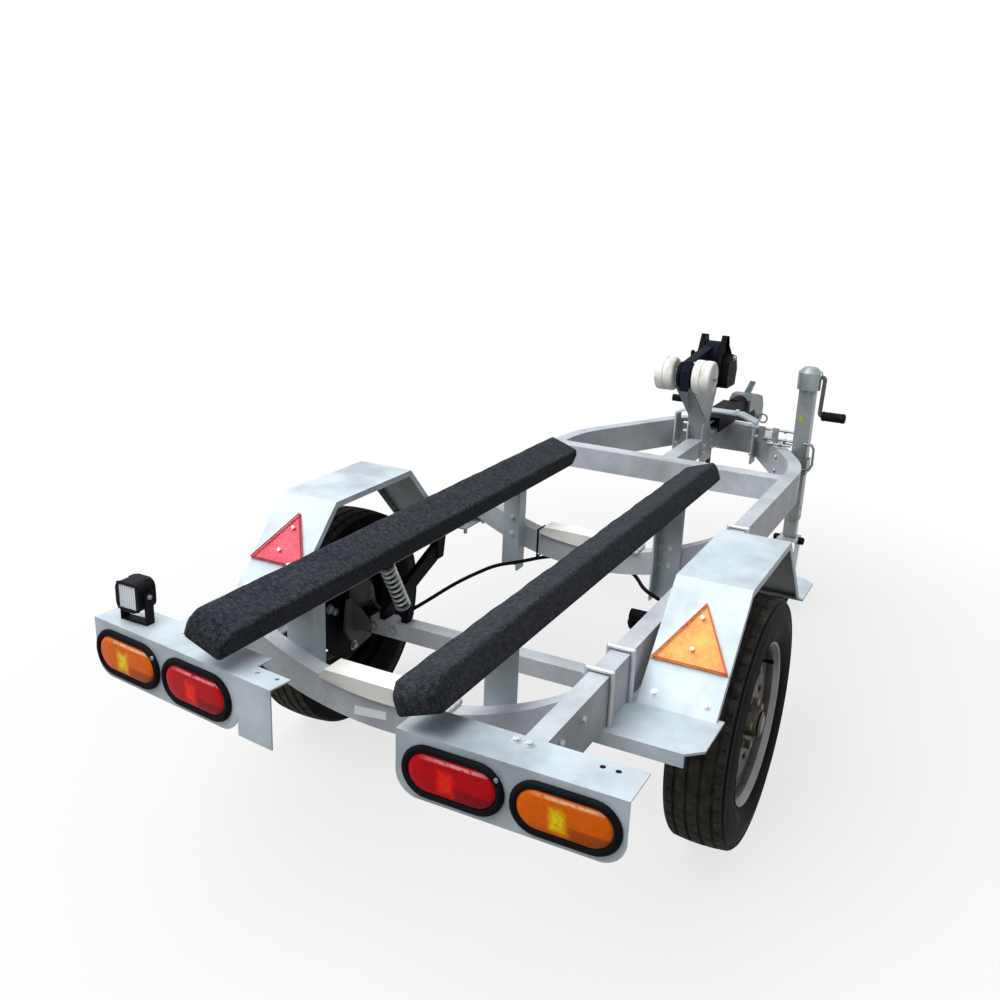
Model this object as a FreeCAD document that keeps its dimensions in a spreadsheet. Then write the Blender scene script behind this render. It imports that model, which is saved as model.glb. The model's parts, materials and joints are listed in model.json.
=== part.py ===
"""Single-axle boat trailer with a hoop frame, carpeted bunks, coil-over suspension and a jockey wheel.

Millimetres, +X to the trailer's right, +Y forward, +Z up.  The ground is Z = 0, the symmetry plane X = 0.
Places along the trailer are measured from the axle line, which lies at Y = axle_y.
"""
import FreeCAD, Part
import math
import os
import re

import Sketcher

Vector = FreeCAD.Vector
doc = FreeCAD.newDocument("BoatTrailer")

# -------------------------------------------------------------------------------------- driving dimensions
# columns: alias, value in mm or degrees, meaning
SIZES = [
    ("axle_y", -642.5, "axle line ahead of the origin"),
    ("seat_gap", 0.3, "gap between curved faces that rest on each other"),
    ("shaft_gap", 0.05, "radial clearance of a shaft in its bore"),
    ("rail_top", 557, "top of the side rails above the ground"),
    ("rail_height", 102, "side rail tube, height"),
    ("rail_width", 40, "side rail tube, width"),
    ("rail_wall", 3, "side rail tube, wall"),
    ("rail_outer", 405, "outer face of the side rails from the symmetry plane"),
    ("bend_start", 1080, "start of the hoop's long bend ahead of the axle"),
    ("bend_radius", 480, "hoop's long bend, outer radius"),
    ("bend_angle", 27, "hoop's long bend, turn"),
    ("slant_length", 377, "straight run between the hoop's two bends"),
    ("nose_radius", 110, "hoop's nose bend, outer radius"),
    ("cross_start", 1000, "rear face of the front cross member ahead of the axle"),
    ("cross_width", 56, "front cross member, width"),
    ("cross_height", 72, "front cross member, height"),
    ("keel_width", 48, "keel beam, width"),
    ("keel_height", 60, "keel beam, height"),
    ("bow_sag", 106, "drop of a bowed cross member at its middle"),
    ("bow_height", 62, "bowed cross member, height"),
    ("bow_width", 40, "bowed cross member, width"),
    ("bow_wall", 3, "bowed cross member, wall"),
    ("bow_drop", 3, "top of a bowed member's ends below the rail top"),
    ("rear_bow", 575, "rear bowed member behind the axle"),
    ("front_bow", 425, "front bowed member ahead of the axle"),
    ("pad_length", 290, "keel pad, length across the trailer"),
    ("pad_width", 56, "keel pad, width"),
    ("pad_height", 20, "keel pad, height"),
    ("bunk_across", 216.6, "middle of a bunk from the symmetry plane"),
    ("bunk_level", 625, "middle of a bunk above the ground"),
    ("bunk_tilt", 20.5, "inward tilt of the bunks"),
    ("bunk_width", 90, "bunk, width"),
    ("bunk_height", 58, "bunk, height"),
    ("bunk_tail", 835, "rear end of the bunks behind the axle"),
    ("bunk_nose", 700, "front end of the bunks ahead of the axle"),
    ("bunk_bevel", 22, "bevel on the ends of a bunk"),
    ("bracket_wide", 66, "bunk bracket, broad leg"),
    ("bracket_deep", 40, "bunk bracket, narrow leg"),
    ("bracket_wall", 5, "bunk bracket, thickness"),
    ("bracket_foot", 352, "foot of the front bunk brackets above the ground"),
    ("fender_inner", 420, "inner edge of a fender from the symmetry plane"),
    ("fender_outer", 578, "outer edge of a fender from the symmetry plane"),
    ("fender_top", 655, "top of a fender above the ground"),
    ("fender_flat", 165, "half length of a fender's flat top"),
    ("fender_reach", 355, "foot of a fender's slope from the axle line"),
    ("fender_wall", 3, "fender sheet thickness"),
    ("fender_lip", 15, "depth of a fender's side lips"),
    ("foot_wall", 5, "fender foot plate, thickness"),
    ("foot_length", 150, "fender foot plate along the trailer"),
    ("foot_flange", 28, "fender foot plate, depth of its turned edge"),
    ("foot_outer", 590, "outer end of a fender foot plate"),
    ("foot_near", 340, "near edge of a fender foot plate from the axle line"),
    ("ubolt_radius", 5, "U-bolt rod, radius"),
    ("board_in", 177, "inner end of a lamp board from the symmetry plane"),
    ("board_out", 579, "outer end of a lamp board from the symmetry plane"),
    ("board_rear", 826, "rear face of the lamp boards behind the axle"),
    ("board_depth", 87, "lamp board, depth of its top flange"),
    ("board_height", 117, "lamp board, height"),
    ("board_wall", 3, "lamp board sheet thickness"),
    ("board_corner", 43, "lamp board, radius of its lower corners"),
    ("board_swing", 7, "left lamp board's turn, its outer end forward"),
    ("swing_in", 22, "left lamp board's middle, shifted inward by its turn"),
    ("swing_ahead", 27, "left lamp board's middle, shifted forward by its turn"),
    ("lamp_height", 95, "lamp surround, height"),
    ("lamp_rim", 13, "lamp surround, width of its rubber"),
    ("lamp_lip", 9, "lamp surround, proud of the board"),
    ("lamp_drop", 60.5, "lamp centre below the board's top"),
    ("lamp_inset", 13.5, "inner end of the board to the red lamp's surround"),
    ("lamp_between", 8.5, "gap between a board's two lamp surrounds"),
    ("lamp_edge", 6, "amber lamp's surround to the outer end of the board"),
    ("tyre_radius", 283, "tyre radius"),
    ("tyre_width", 142, "tyre width at its sidewalls"),
    ("tread_width", 112, "tyre tread width"),
    ("groove_width", 7, "tread groove, width"),
    ("groove_depth", 7, "tread groove, depth"),
    ("track_half", 528, "wheel centre plane from the symmetry plane"),
    ("rim_radius", 189, "rim flange radius"),
    ("rim_half", 60, "half width of the rim over its flanges"),
    ("rim_wall", 4, "rim thickness"),
    ("disc_offset", 26, "wheel disc outboard of the wheel's centre plane"),
    ("hub_radius", 31, "wheel hub, radius"),
    ("drum_radius", 104, "brake drum, radius"),
    ("drum_depth", 46, "brake drum, depth"),
    ("back_radius", 116, "brake back plate, radius"),
    ("back_gap", 6, "gap between a brake drum and its back plate"),
    ("spindle_radius", 14, "stub axle, radius"),
    ("axle_size", 45, "axle beam, side of its square tube"),
    ("axle_wall", 4, "axle beam, wall"),
    ("axle_end", 420, "end of the axle beam from the symmetry plane"),
    ("arm_pivot_y", 250, "suspension arm pivot ahead of the axle"),
    ("arm_pivot_drop", 39, "suspension arm pivot below the rails"),
    ("arm_thick", 16, "suspension arm, thickness"),
    ("arm_half", 24, "suspension arm, half height at its ends"),
    ("damper_across", 326, "damper from the symmetry plane"),
    ("damper_foot", 47, "damper's lower eye above the axle line"),
    ("damper_head_y", 110, "damper's upper eye behind the axle"),
    ("damper_rise", 190, "damper's upper eye above its lower eye"),
    ("damper_radius", 12, "damper body, radius"),
    ("damper_rod", 6, "damper rod, radius"),
    ("eye_radius", 14, "damper eye, radius"),
    ("spring_radius", 21, "spring coil, outer radius"),
    ("spring_wire", 6, "spring wire, diameter"),
    ("post_ahead", 224, "middle of the winch post's foot ahead of the roller shaft"),
    ("post_half", 65, "half length of the winch post's foot"),
    ("post_wide", 57, "winch post, width over its side plates"),
    ("post_wall", 4, "winch post sheet thickness"),
    ("post_top", 745, "top of the winch post above the ground"),
    ("roller_y", 1156, "bow roller shaft ahead of the axle"),
    ("roller_z", 808, "bow roller shaft above the ground"),
    ("roller_radius", 54, "white bow roller, radius"),
    ("roller_width", 62, "white bow roller, width"),
    ("core_radius", 43, "black centre roller, radius"),
    ("core_width", 46, "black centre roller, width"),
    ("roller_shaft", 8, "bow roller shaft, radius"),
    ("roller_side", 2, "white bow roller from the winch post"),
    ("winch_wide", 62, "winch frame, width over its cheeks"),
    ("winch_shift", 21, "winch to the right of the symmetry plane"),
    ("case_wide", 38, "winch gear case, width"),
    ("winch_wall", 4, "winch frame sheet thickness"),
    ("drum_ahead", 226, "winch drum shaft ahead of the roller shaft"),
    ("drum_lift", 97, "winch drum shaft above the post"),
    ("handle_gap", 40, "winch handle outside the frame's cheek"),
    ("handle_length", 160, "winch handle, length"),
    ("handle_grip", 52, "winch handle's grip, length"),
    ("strap_radius", 42, "strap wound on the winch drum, radius"),
    ("strap_width", 50, "winch strap, width"),
    ("strap_core", 10, "winch drum shaft, radius"),
    ("strap_thick", 4, "winch strap, thickness"),
    ("strap_drop", 44, "end of the winch strap below the roller shaft"),
    ("strap_tail_width", 30, "free end of the winch strap, width"),
    ("housing_start", 1482, "rear end of the coupling housing ahead of the axle"),
    ("housing_end", 1800, "front end of the coupling housing ahead of the axle"),
    ("housing_wide", 78, "coupling housing, width"),
    ("housing_high", 52, "coupling housing, height"),
    ("housing_wall", 5, "coupling housing, wall"),
    ("bellows_radius", 32, "drawbar bellows, radius"),
    ("bellows_end", 1896, "front end of the bellows ahead of the axle"),
    ("head_length", 224, "coupling head along the trailer"),
    ("head_wide", 84, "coupling head, width"),
    ("head_drop", 98, "underside of the coupling head below its drawbar"),
    ("ball_radius", 25.2, "tow ball socket, radius"),
    ("jack_x", 345, "jack axis from the symmetry plane"),
    ("jack_y", 1400, "jack axis ahead of the axle"),
    ("jack_size", 50, "jack outer tube, side"),
    ("jack_wall", 4, "jack outer tube, wall"),
    ("jack_foot", 318, "lower end of the jack's outer tube above the ground"),
    ("jack_top", 766, "upper end of the jack's outer tube above the ground"),
    ("head_box", 76, "jack gear head, side"),
    ("head_tall", 72, "jack gear head, height"),
    ("head_bevel", 16, "bevel round the top of the jack's gear head"),
    ("collar_wall", 6, "jack clamp's collar, wall"),
    ("collar_height", 48, "jack clamp's collar, height"),
    ("leg_gap", 0.4, "gap round the jack's inner leg"),
    ("crank_drop", 140, "jack crank, length"),
    ("grip_length", 78, "jack crank grip, length"),
    ("grip_radius", 16, "jack crank grip, radius"),
    ("jockey_radius", 100, "jockey wheel, radius"),
    ("jockey_width", 46, "jockey wheel, width"),
    ("jockey_trail", 24, "jockey wheel axle behind the jack axis"),
    ("jockey_pin", 8, "jockey wheel axle, radius"),
    ("fork_wall", 5, "jockey fork, thickness"),
    ("fork_gap", 6, "gap between the jockey wheel and its fork"),
    ("fork_crown", 246, "underside of the fork's crown above the ground"),
    ("rail_back", 46, "rail's rear end ahead of the lamp boards' rear faces"),
    ("plate_width", 84, "number plate bracket, width"),
    ("plate_depth", 50, "number plate bracket, depth of its top flange"),
    ("plate_holes", 44, "spacing of the holes in the number plate bracket's flange"),
    ("plate_hole", 4.2, "radius of those holes"),
    ("ubolt_edge", 22, "U-bolt from the edge of its foot plate"),
    ("ubolt_tail", 18, "U-bolt below its foot plate"),
    ("hole_gap", 0.3, "clearance round a bolt in its hole"),
    ("reflector_side", 156, "reflector, side of its triangle"),
    ("reflector_wall", 4, "reflector, thickness"),
    ("work_x", 470.5, "middle of the work lamp from the symmetry plane"),
    ("work_y", 745, "middle of the work lamp behind the axle"),
    ("work_wide", 59, "work lamp, width"),
    ("work_high", 62, "work lamp, height"),
    ("work_deep", 46, "work lamp, depth"),
    ("work_lift", 26, "work lamp above its board"),
    ("work_corner", 18, "work lamp, corner radius"),
    ("work_rim", 7, "work lamp, rim round its lens"),
    ("portal_half", 148, "half width of the coupling's arched bracket"),
    ("portal_y", 1580, "middle of the arched bracket ahead of the axle"),
    ("portal_flat", 92, "half width of the arched bracket's flat top"),
    ("portal_wide", 60, "arched bracket along the trailer"),
    ("portal_wall", 6, "arched bracket, thickness"),
    ("cable_radius", 5, "brake cable, radius"),
    ("equaliser_half", 25, "brake equaliser, half width"),
    ("pull_radius", 6, "brake rod, radius"),
    ("hook_ring", 17, "breakaway ring, radius to its wire's middle"),
    ("hook_wire", 3.5, "breakaway ring, wire radius"),
]
sheet = doc.addObject("Spreadsheet::Sheet", "Sizes")
for row, (alias, number, meaning) in enumerate(SIZES, start=1):
    sheet.set(f"A{row}", alias)
    sheet.set(f"B{row}", str(number))
    sheet.set(f"C{row}", meaning)
    sheet.setAlias(f"B{row}", alias)
doc.recompute()
ALIASES = {alias for alias, number, meaning in SIZES}


# ------------------------------------------------------------------------------------------------- helpers
def full(expression):
    """The expression with every alias written as a cell of the sheet."""
    return re.sub(r"[A-Za-z_]\w*", lambda m: "Sizes." + m[0] if m[0] in ALIASES else m[0], str(expression))


def number(expression):
    """The value of an expression of aliases."""
    answer = sheet.evalExpression(full(expression))
    return float(getattr(answer, "Value", answer))


def bind(item, prop, expression):
    """Bind a property to an expression of aliases."""
    item.setExpression(prop, full(expression))


def place(item, x="0", y="0", z="0", turn=None):
    """Bind an object's place; turn is an axis and an angle expression."""
    if turn:
        axis, angle = turn
        item.Placement = FreeCAD.Placement(Vector(), FreeCAD.Rotation(Vector(*axis), number(angle)))
        bind(item, "Placement.Rotation.Angle", angle)
    bind(item, "Placement.Base.x", x)
    bind(item, "Placement.Base.y", y)
    bind(item, "Placement.Base.z", z)
    return item


def along(axis):
    """The turn that lays a cylinder's own axis along X, Y or Z."""
    return {"X": ((0, 1, 0), "90"), "Y": ((-1, 0, 0), "90"), "Z": None}[axis]


def block(name, x, y, z, length, width, height):
    """A box from its low corner."""
    item = doc.addObject("Part::Box", name)
    for prop, size in zip(("Length", "Width", "Height"), (length, width, height)):
        bind(item, prop, size)
    return place(item, x, y, z)


def rod(name, axis, x, y, z, radius, height):
    """A cylinder along X, Y or Z from the middle of its low end."""
    item = doc.addObject("Part::Cylinder", name)
    bind(item, "Radius", radius)
    bind(item, "Height", height)
    return place(item, x, y, z, along(axis))


def fuse(name, *items):
    item = doc.addObject("Part::MultiFuse", name)
    item.Shapes = list(items)
    item.Refine = True
    return item


def cut(name, base, *tools):
    item = doc.addObject("Part::Cut", name)
    item.Base = base
    item.Tool = tools[0] if len(tools) == 1 else fuse(name + "_tools", *tools)
    item.Refine = True
    return item


def group(name, *items):
    item = doc.addObject("Part::Compound", name)
    item.Links = list(items)
    return item


def mirror(name, source, normal=(1, 0, 0), y="0"):
    """The mirror image of an object in a plane through (0, y, 0)."""
    item = doc.addObject("Part::Mirroring", name)
    item.Source = source
    item.Normal = Vector(*normal)
    bind(item, "Base.y", y)
    return item


def sketch_on(body, plane):
    sketch = body.newObject("Sketcher::SketchObject", body.Name + "_sketch")
    feature = [f for f in body.Origin.OriginFeatures if f.Role == plane + "_Plane"][0]
    sketch.AttachmentSupport = (feature, [""])
    sketch.MapMode = "FlatFace"
    return sketch


def pin(sketch, geometry, point, x, y):
    """Fix a point of the sketch at two expressions."""
    for kind, value in (("DistanceX", x), ("DistanceY", y)):
        index = sketch.addConstraint(Sketcher.Constraint(kind, -1, 1, geometry, point, number(value)))
        sketch.setExpression(f"Constraints[{index}]", full(value))


def loop(sketch, corners):
    """A closed outline: (x, y) starts a straight edge, (x, y, radius, turn) an arc, turn 1 anticlockwise.

    A half circle, whose radius its ends already settle, gives the place across of its centre as well.
    """
    points = [Vector(number(c[0]), number(c[1]), 0) for c in corners]
    ends = []
    for k, corner in enumerate(corners):
        start, stop = points[k], points[(k + 1) % len(points)]
        if len(corner) == 2:
            ends.append((sketch.addGeometry(Part.LineSegment(start, stop)), 1, 2))
            continue
        radius, turn = number(corner[2]), corner[3]
        chord = stop - start
        rise = math.sqrt(max(radius ** 2 - (chord.Length / 2) ** 2, 0))
        side = Vector(-chord.y, chord.x, 0).normalize() * turn
        centre = (start + stop) * 0.5 + side * rise
        first, last = (start, stop) if turn > 0 else (stop, start)
        angles = [math.atan2(p.y - centre.y, p.x - centre.x) for p in (first, last)]
        circle = Part.Circle(centre, Vector(0, 0, 1), radius)
        index = sketch.addGeometry(Part.ArcOfCircle(circle, angles[0], angles[1]))
        ends.append((index, 1, 2) if turn > 0 else (index, 2, 1))
        if len(corner) == 5:
            constraint = sketch.addConstraint(Sketcher.Constraint("DistanceX", -1, 1, index, 3,
                                                                  number(corner[4])))
            sketch.setExpression(f"Constraints[{constraint}]", full(corner[4]))
        else:
            constraint = sketch.addConstraint(Sketcher.Constraint("Radius", index, radius))
            sketch.setExpression(f"Constraints[{constraint}]", full(corner[2]))
    for k, corner in enumerate(corners):
        before, here = ends[k - 1], ends[k]
        sketch.addConstraint(Sketcher.Constraint("Coincident", before[0], before[2], here[0], here[1]))
        pin(sketch, here[0], here[1], corner[0], corner[1])


def round_hole(sketch, x, y, radius):
    circle = Part.Circle(Vector(number(x), number(y), 0), Vector(0, 0, 1), number(radius))
    index = sketch.addGeometry(circle)
    pin(sketch, index, 3, x, y)
    constraint = sketch.addConstraint(Sketcher.Constraint("Radius", index, number(radius)))
    sketch.setExpression(f"Constraints[{constraint}]", full(radius))


def pad(name, plane, outlines, thickness, holes=(), at=("0", "0", "0"), turn=None):
    """A body padded evenly to both sides of a plane of its own."""
    body = doc.addObject("PartDesign::Body", name)
    sketch = sketch_on(body, plane)
    for corners in outlines:
        loop(sketch, corners)
    for hole in holes:
        round_hole(sketch, *hole)
    feature = body.newObject("PartDesign::Pad", name + "_pad")
    feature.Profile = sketch
    feature.SideType = "Symmetric"
    bind(feature, "Length", thickness)
    body.Tip = feature
    return place(body, *at, turn=turn)


def spin(name, outlines, at):
    """A body of revolution about X, from outlines of (distance along X, radius)."""
    body = doc.addObject("PartDesign::Body", name)
    sketch = sketch_on(body, "XY")
    for corners in outlines:
        loop(sketch, corners)
    feature = body.newObject("PartDesign::Revolution", name + "_turn")
    feature.Profile = sketch
    feature.ReferenceAxis = (sketch, ["H_Axis"])
    feature.Angle = 360
    body.Tip = feature
    return place(body, *at)


def box_outline(x0, y0, x1, y1):
    return [(x0, y0), (x1, y0), (x1, y1), (x0, y1)]


def slot_outline(x, y, length, height):
    """A stadium: straight above and below, half round at its ends."""
    half = f"(({length})-({height}))/2"
    radius = f"({height})/2"
    return [
        (f"{x}-{half}", f"{y}-{radius}"),
        (f"{x}+{half}", f"{y}-{radius}", radius, 1, f"{x}+{half}"),
        (f"{x}+{half}", f"{y}+{radius}"),
        (f"{x}-{half}", f"{y}+{radius}", radius, 1, f"{x}-{half}"),
    ]


NODES = []


def node(label, item):
    """Name an object as a sub-part of its own."""
    item.Label = label
    NODES.append(item)
    return item


def pair(label, item):
    """A right-hand sub-part and its mirror image on the left."""
    node(label + "_right", item)
    return node(label + "_left", mirror(label + "_left_side", item))


def both_sides(name, item):
    """A right-hand piece with its mirror image, as one object."""
    return group(name + "_both", item, mirror(name + "_left", item))


# ---------------------------------------------------------------------------------------------- hoop frame
RAIL_LOW = "(rail_top-rail_height)"
ARM_PIVOT = "(rail_top-rail_height-arm_pivot_drop)"
RAIL_INNER = "(rail_outer-rail_width)"
RAIL_TAIL = "(board_rear-rail_back)"
BEND_X = "(rail_outer-bend_radius)"
NOSE_X = f"({BEND_X}+(bend_radius-nose_radius)*cos(bend_angle)-slant_length*sin(bend_angle))"
NOSE_Y = "(bend_start+(bend_radius-nose_radius)*sin(bend_angle)+slant_length*cos(bend_angle))"


def hoop_path(inset):
    """Places along the hoop's right half, the given distance inside its outer face."""
    bend_x = f"{BEND_X}+(bend_radius-({inset}))*cos(bend_angle)"
    bend_y = f"bend_start+(bend_radius-({inset}))*sin(bend_angle)"
    return [
        (f"rail_outer-({inset})", f"-{RAIL_TAIL}"),
        (f"rail_outer-({inset})", "bend_start"),
        (bend_x, bend_y),
        (f"{bend_x}-slant_length*sin(bend_angle)", f"{bend_y}+slant_length*cos(bend_angle)"),
        (NOSE_X, f"{NOSE_Y}+nose_radius-({inset})"),
        ("0", f"{NOSE_Y}+nose_radius-({inset})"),
    ]


def hoop_half(name, outer, inner, height):
    out, back = hoop_path(outer), hoop_path(inner)
    corners = [
        out[0],
        (*out[1], f"bend_radius-({outer})", 1),
        out[2],
        (*out[3], f"nose_radius-({outer})", 1),
        out[4],
        out[5],
        back[5],
        (*back[4], f"nose_radius-({inner})", -1),
        back[3],
        (*back[2], f"bend_radius-({inner})", -1),
        back[1],
        back[0],
    ]
    return pad(name, "XY", [corners], height, at=("0", "axle_y", "rail_top-rail_height/2"))


def make_rails():
    solid = hoop_half("hoop_solid", "0", "rail_width", "rail_height")
    hollow = hoop_half("hoop_hollow", "rail_wall", "rail_width-rail_wall", "rail_height-2*rail_wall")
    pair("frame_rail", cut("rail_tube", solid, hollow))
    return solid


def make_front_cross(rail):
    half = f"({RAIL_INNER}+rail_width/3)"
    bar = block("cross_bar", f"-{half}", "axle_y+cross_start", "rail_top-cross_height",
                f"2*{half}", "cross_width", "cross_height")
    hollow = block("cross_hollow", f"-{half}-1", "axle_y+cross_start+rail_wall",
                   "rail_top-cross_height+rail_wall",
                   f"2*{half}+2", "cross_width-2*rail_wall", "cross_height-2*rail_wall")
    left = mirror("hoop_solid_left", rail)
    node("front_cross_member", cut("front_cross", bar, hollow, rail, left))


def make_keel():
    start = "(cross_start+cross_width)"
    length = f"({NOSE_Y}+nose_radius-rail_width-{start})"
    bar = block("keel_bar", "-keel_width/2", f"axle_y+{start}", "rail_top-keel_height",
                "keel_width", length, "keel_height")
    hollow = block("keel_hollow", "-keel_width/2+rail_wall", f"axle_y+{start}-1",
                   "rail_top-keel_height+rail_wall",
                   "keel_width-2*rail_wall", f"{length}+2", "keel_height-2*rail_wall")
    node("keel_beam", cut("keel_tube", bar, hollow))


BOW_TOP = "(rail_top-bow_drop)"
BOW_RADIUS = f"(({RAIL_INNER}^2+bow_sag^2)/(2*bow_sag))"
BOW_CENTRE = f"({BOW_TOP}+sqrt({BOW_RADIUS}^2-{RAIL_INNER}^2))"


def arc_level(depth, across):
    """Height of a bow's arc, the given depth under its top face, at a place across the trailer."""
    return f"({BOW_CENTRE}-sqrt(({BOW_RADIUS}+({depth}))^2-({across})^2))"


def bow_band(name, upper, lower, width, y):
    reach = RAIL_INNER
    corners = [
        (f"-{reach}", arc_level(upper, reach), f"{BOW_RADIUS}+({upper})", 1),
        (reach, arc_level(upper, reach)),
        (reach, arc_level(lower, reach), f"{BOW_RADIUS}+({lower})", -1),
        (f"-{reach}", arc_level(lower, reach)),
    ]
    return pad(name, "XZ", [corners], width, at=("0", y, "0"))


def make_bows():
    pads = []
    for name, y in (("rear", "axle_y-rear_bow"), ("front", "axle_y+front_bow")):
        solid = bow_band(name + "_bow_solid", "0", "bow_height", "bow_width", y)
        hollow = bow_band(name + "_bow_hollow", "bow_wall", "bow_height-bow_wall", "bow_width-2*bow_wall",
                          y)
        node(name + "_bow_member", cut(name + "_bow_tube", solid, hollow))
        edge = "pad_length/2"
        seat = arc_level("-seat_gap", edge)
        corners = [
            (f"-{edge}", seat, f"{BOW_RADIUS}-seat_gap", 1),
            (edge, seat),
            (edge, f"{seat}+pad_height*0.4"),
            (f"{edge}-pad_height*0.6", f"{seat}+pad_height"),
            (f"-{edge}+pad_height*0.6", f"{seat}+pad_height"),
            (f"-{edge}", f"{seat}+pad_height*0.4"),
        ]
        pads.append(pad(name + "_pad", "XZ", [corners], "pad_width", at=("0", y, "0")))
    node("keel_pads", group("both_pads", *pads))


# --------------------------------------------------------------------------------------------------- bunks
UNDER_X = "(bunk_across+bunk_height/2*sin(bunk_tilt))"
UNDER_Z = "(bunk_level-bunk_height/2*cos(bunk_tilt))"


def bunk_under(across):
    """Height of a bunk's underside at a place across the trailer, less the seating gap."""
    return f"({UNDER_Z}+(({across})-{UNDER_X})*tan(bunk_tilt)-seat_gap)"


def make_bunks():
    half = "(bunk_nose+bunk_tail)/2"
    corners = [
        (f"-{half}", "-bunk_height/2"),
        (half, "-bunk_height/2"),
        (half, "bunk_height/2-bunk_bevel"),
        (f"{half}-bunk_bevel", "bunk_height/2"),
        (f"-{half}+bunk_bevel", "bunk_height/2"),
        (f"-{half}", "bunk_height/2-bunk_bevel"),
    ]
    bunk = pad("bunk_board", "YZ", [corners], "bunk_width",
               at=("bunk_across", "axle_y+(bunk_nose-bunk_tail)/2", "bunk_level"),
               turn=((0, -1, 0), "bunk_tilt"))
    pair("bunk", bunk)


def upright(name, near, far, foot, thickness, y):
    """A leg of a bunk bracket between two places across the trailer, its head sloped to the bunk."""
    corners = [(near, foot), (far, foot), (far, bunk_under(far)), (near, bunk_under(near))]
    return pad(name, "XZ", [corners], thickness, at=("0", y, "0"))


def make_brackets():
    near = f"({UNDER_X}-bracket_wide/2)"
    far = f"({UNDER_X}+bracket_wide/2)"
    legs = []
    for name, face, way, foot in (
        ("front", "axle_y+front_bow-bow_width/2", "-", "bracket_foot"),
        ("rear", "axle_y-rear_bow+bow_width/2", "+", f"{arc_level('bow_height', 'bunk_across')}"),
    ):
        broad = upright(name + "_broad_leg", near, far, foot, "bracket_wall", f"{face}{way}bracket_wall/2")
        narrow = upright(name + "_narrow_leg", near, f"({near}+bracket_wall)", foot, "bracket_deep",
                         f"{face}{way}bracket_deep/2")
        legs.append(fuse(name + "_bracket", broad, narrow))
    node("bunk_brackets", both_sides("brackets", group("bracket_pair", *legs)))


# ------------------------------------------------------------------------------------------------- fenders
SLOPE = f"atan((fender_top-{RAIL_LOW})/(fender_reach-fender_flat))"


def fender_line(depth, level):
    """The fender's profile the given depth under its sheet, from the rear foot to the front foot."""
    foot_y = f"(fender_reach-({depth})/sin({SLOPE})+({RAIL_LOW}-({level}))/tan({SLOPE}))"
    top_y = f"(fender_flat-({depth})*tan({SLOPE}/2))"
    top_z = f"(fender_top-({depth}))"
    return [(f"-{foot_y}", level), (f"-{top_y}", top_z), (top_y, top_z), (foot_y, level)]


def fender_band(name, upper, lower, level, width):
    corners = fender_line(upper, level) + fender_line(lower, level)[::-1]
    return pad(name, "YZ", [corners], width, at=("(fender_inner+fender_outer)/2", "axle_y", "0"))


def make_fenders():
    width = "(fender_outer-fender_inner)"
    skin = fender_band("fender_skin", "0", "fender_lip", RAIL_LOW, width)
    under = fender_band("fender_under", "fender_wall", "fender_lip+5", f"{RAIL_LOW}-5",
                        f"{width}-2*fender_wall")
    pair("fender", cut("fender_sheet", skin, under))


LEG_OUT = "(rail_outer+ubolt_radius+seat_gap)"
LEG_IN = f"({RAIL_INNER}-ubolt_radius-seat_gap)"
UBOLT_PLACES = ("(foot_near+ubolt_edge)", "(foot_near+foot_length-ubolt_edge)")


def make_fender_feet():
    low_x = f"({RAIL_INNER}-2.5*(ubolt_radius+seat_gap)-4)"
    rear = "-(foot_near+foot_length)"
    corners = [
        (low_x, rear),
        ("foot_outer-30", rear),
        ("foot_outer", f"{rear}+30"),
        ("foot_outer", "-foot_near"),
        (low_x, "-foot_near"),
    ]
    holes = [(x, f"-{y}", "ubolt_radius+hole_gap") for x in (LEG_OUT, LEG_IN) for y in UBOLT_PLACES]
    plate = pad("foot_plate", "XY", [corners], "foot_wall", holes,
                at=("0", "axle_y", f"{RAIL_LOW}-foot_wall/2"))
    edge = block("foot_edge", low_x, f"axle_y+{rear}", f"{RAIL_LOW}-foot_flange", f"foot_outer-30-{low_x}",
                 "foot_wall", "foot_flange")
    foot = fuse("fender_foot", plate, edge)
    ahead = mirror("fender_foot_ahead", foot, (0, 1, 0), "axle_y")
    node("fender_feet", both_sides("feet", group("fender_foot_pair", foot, ahead)))


def make_u_bolts():
    low = f"({RAIL_LOW}-foot_wall-ubolt_tail)"
    top = "(rail_top+ubolt_radius+seat_gap)"
    bolts = []
    for k, y in enumerate(UBOLT_PLACES):
        at_y = f"axle_y-{y}"
        outer = rod(f"u_outer_{k}", "Z", LEG_OUT, at_y, low, "ubolt_radius", f"{top}-{low}")
        inner = rod(f"u_inner_{k}", "Z", LEG_IN, at_y, low, "ubolt_radius", f"{top}-{low}")
        bar = rod(f"u_bar_{k}", "X", LEG_IN, at_y, top, "ubolt_radius", f"{LEG_OUT}-{LEG_IN}")
        knees = []
        for side, x in (("outer", LEG_OUT), ("inner", LEG_IN)):
            knee = doc.addObject("Part::Sphere", f"u_knee_{side}_{k}")
            bind(knee, "Radius", "ubolt_radius")
            knees.append(place(knee, x, at_y, top))
        bolts.append(fuse(f"u_bolt_{k}", outer, inner, bar, *knees))
    rear = group("u_bolts_rear", *bolts)
    right = group("u_bolts_right", rear, mirror("u_bolts_ahead", rear, (0, 1, 0), "axle_y"))
    node("u_bolts", both_sides("u_bolts", right))


def make_reflectors():
    half, low = "reflector_side/2", "reflector_side*0.2887"
    lift = f"(seat_gap+reflector_wall/2)"
    triangle = [(f"-{half}", f"-{low}"), (half, f"-{low}"), ("0", f"2*{low}")]
    plate = pad("reflector_plate", "XY", [triangle], "reflector_wall",
                at=("(fender_inner+fender_outer)/2",
                    f"axle_y-(fender_flat+fender_reach)/2-sin({SLOPE})*{lift}",
                    f"(fender_top+{RAIL_LOW})/2+cos({SLOPE})*{lift}"), turn=((1, 0, 0), SLOPE))
    pair("reflector", plate)


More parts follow.
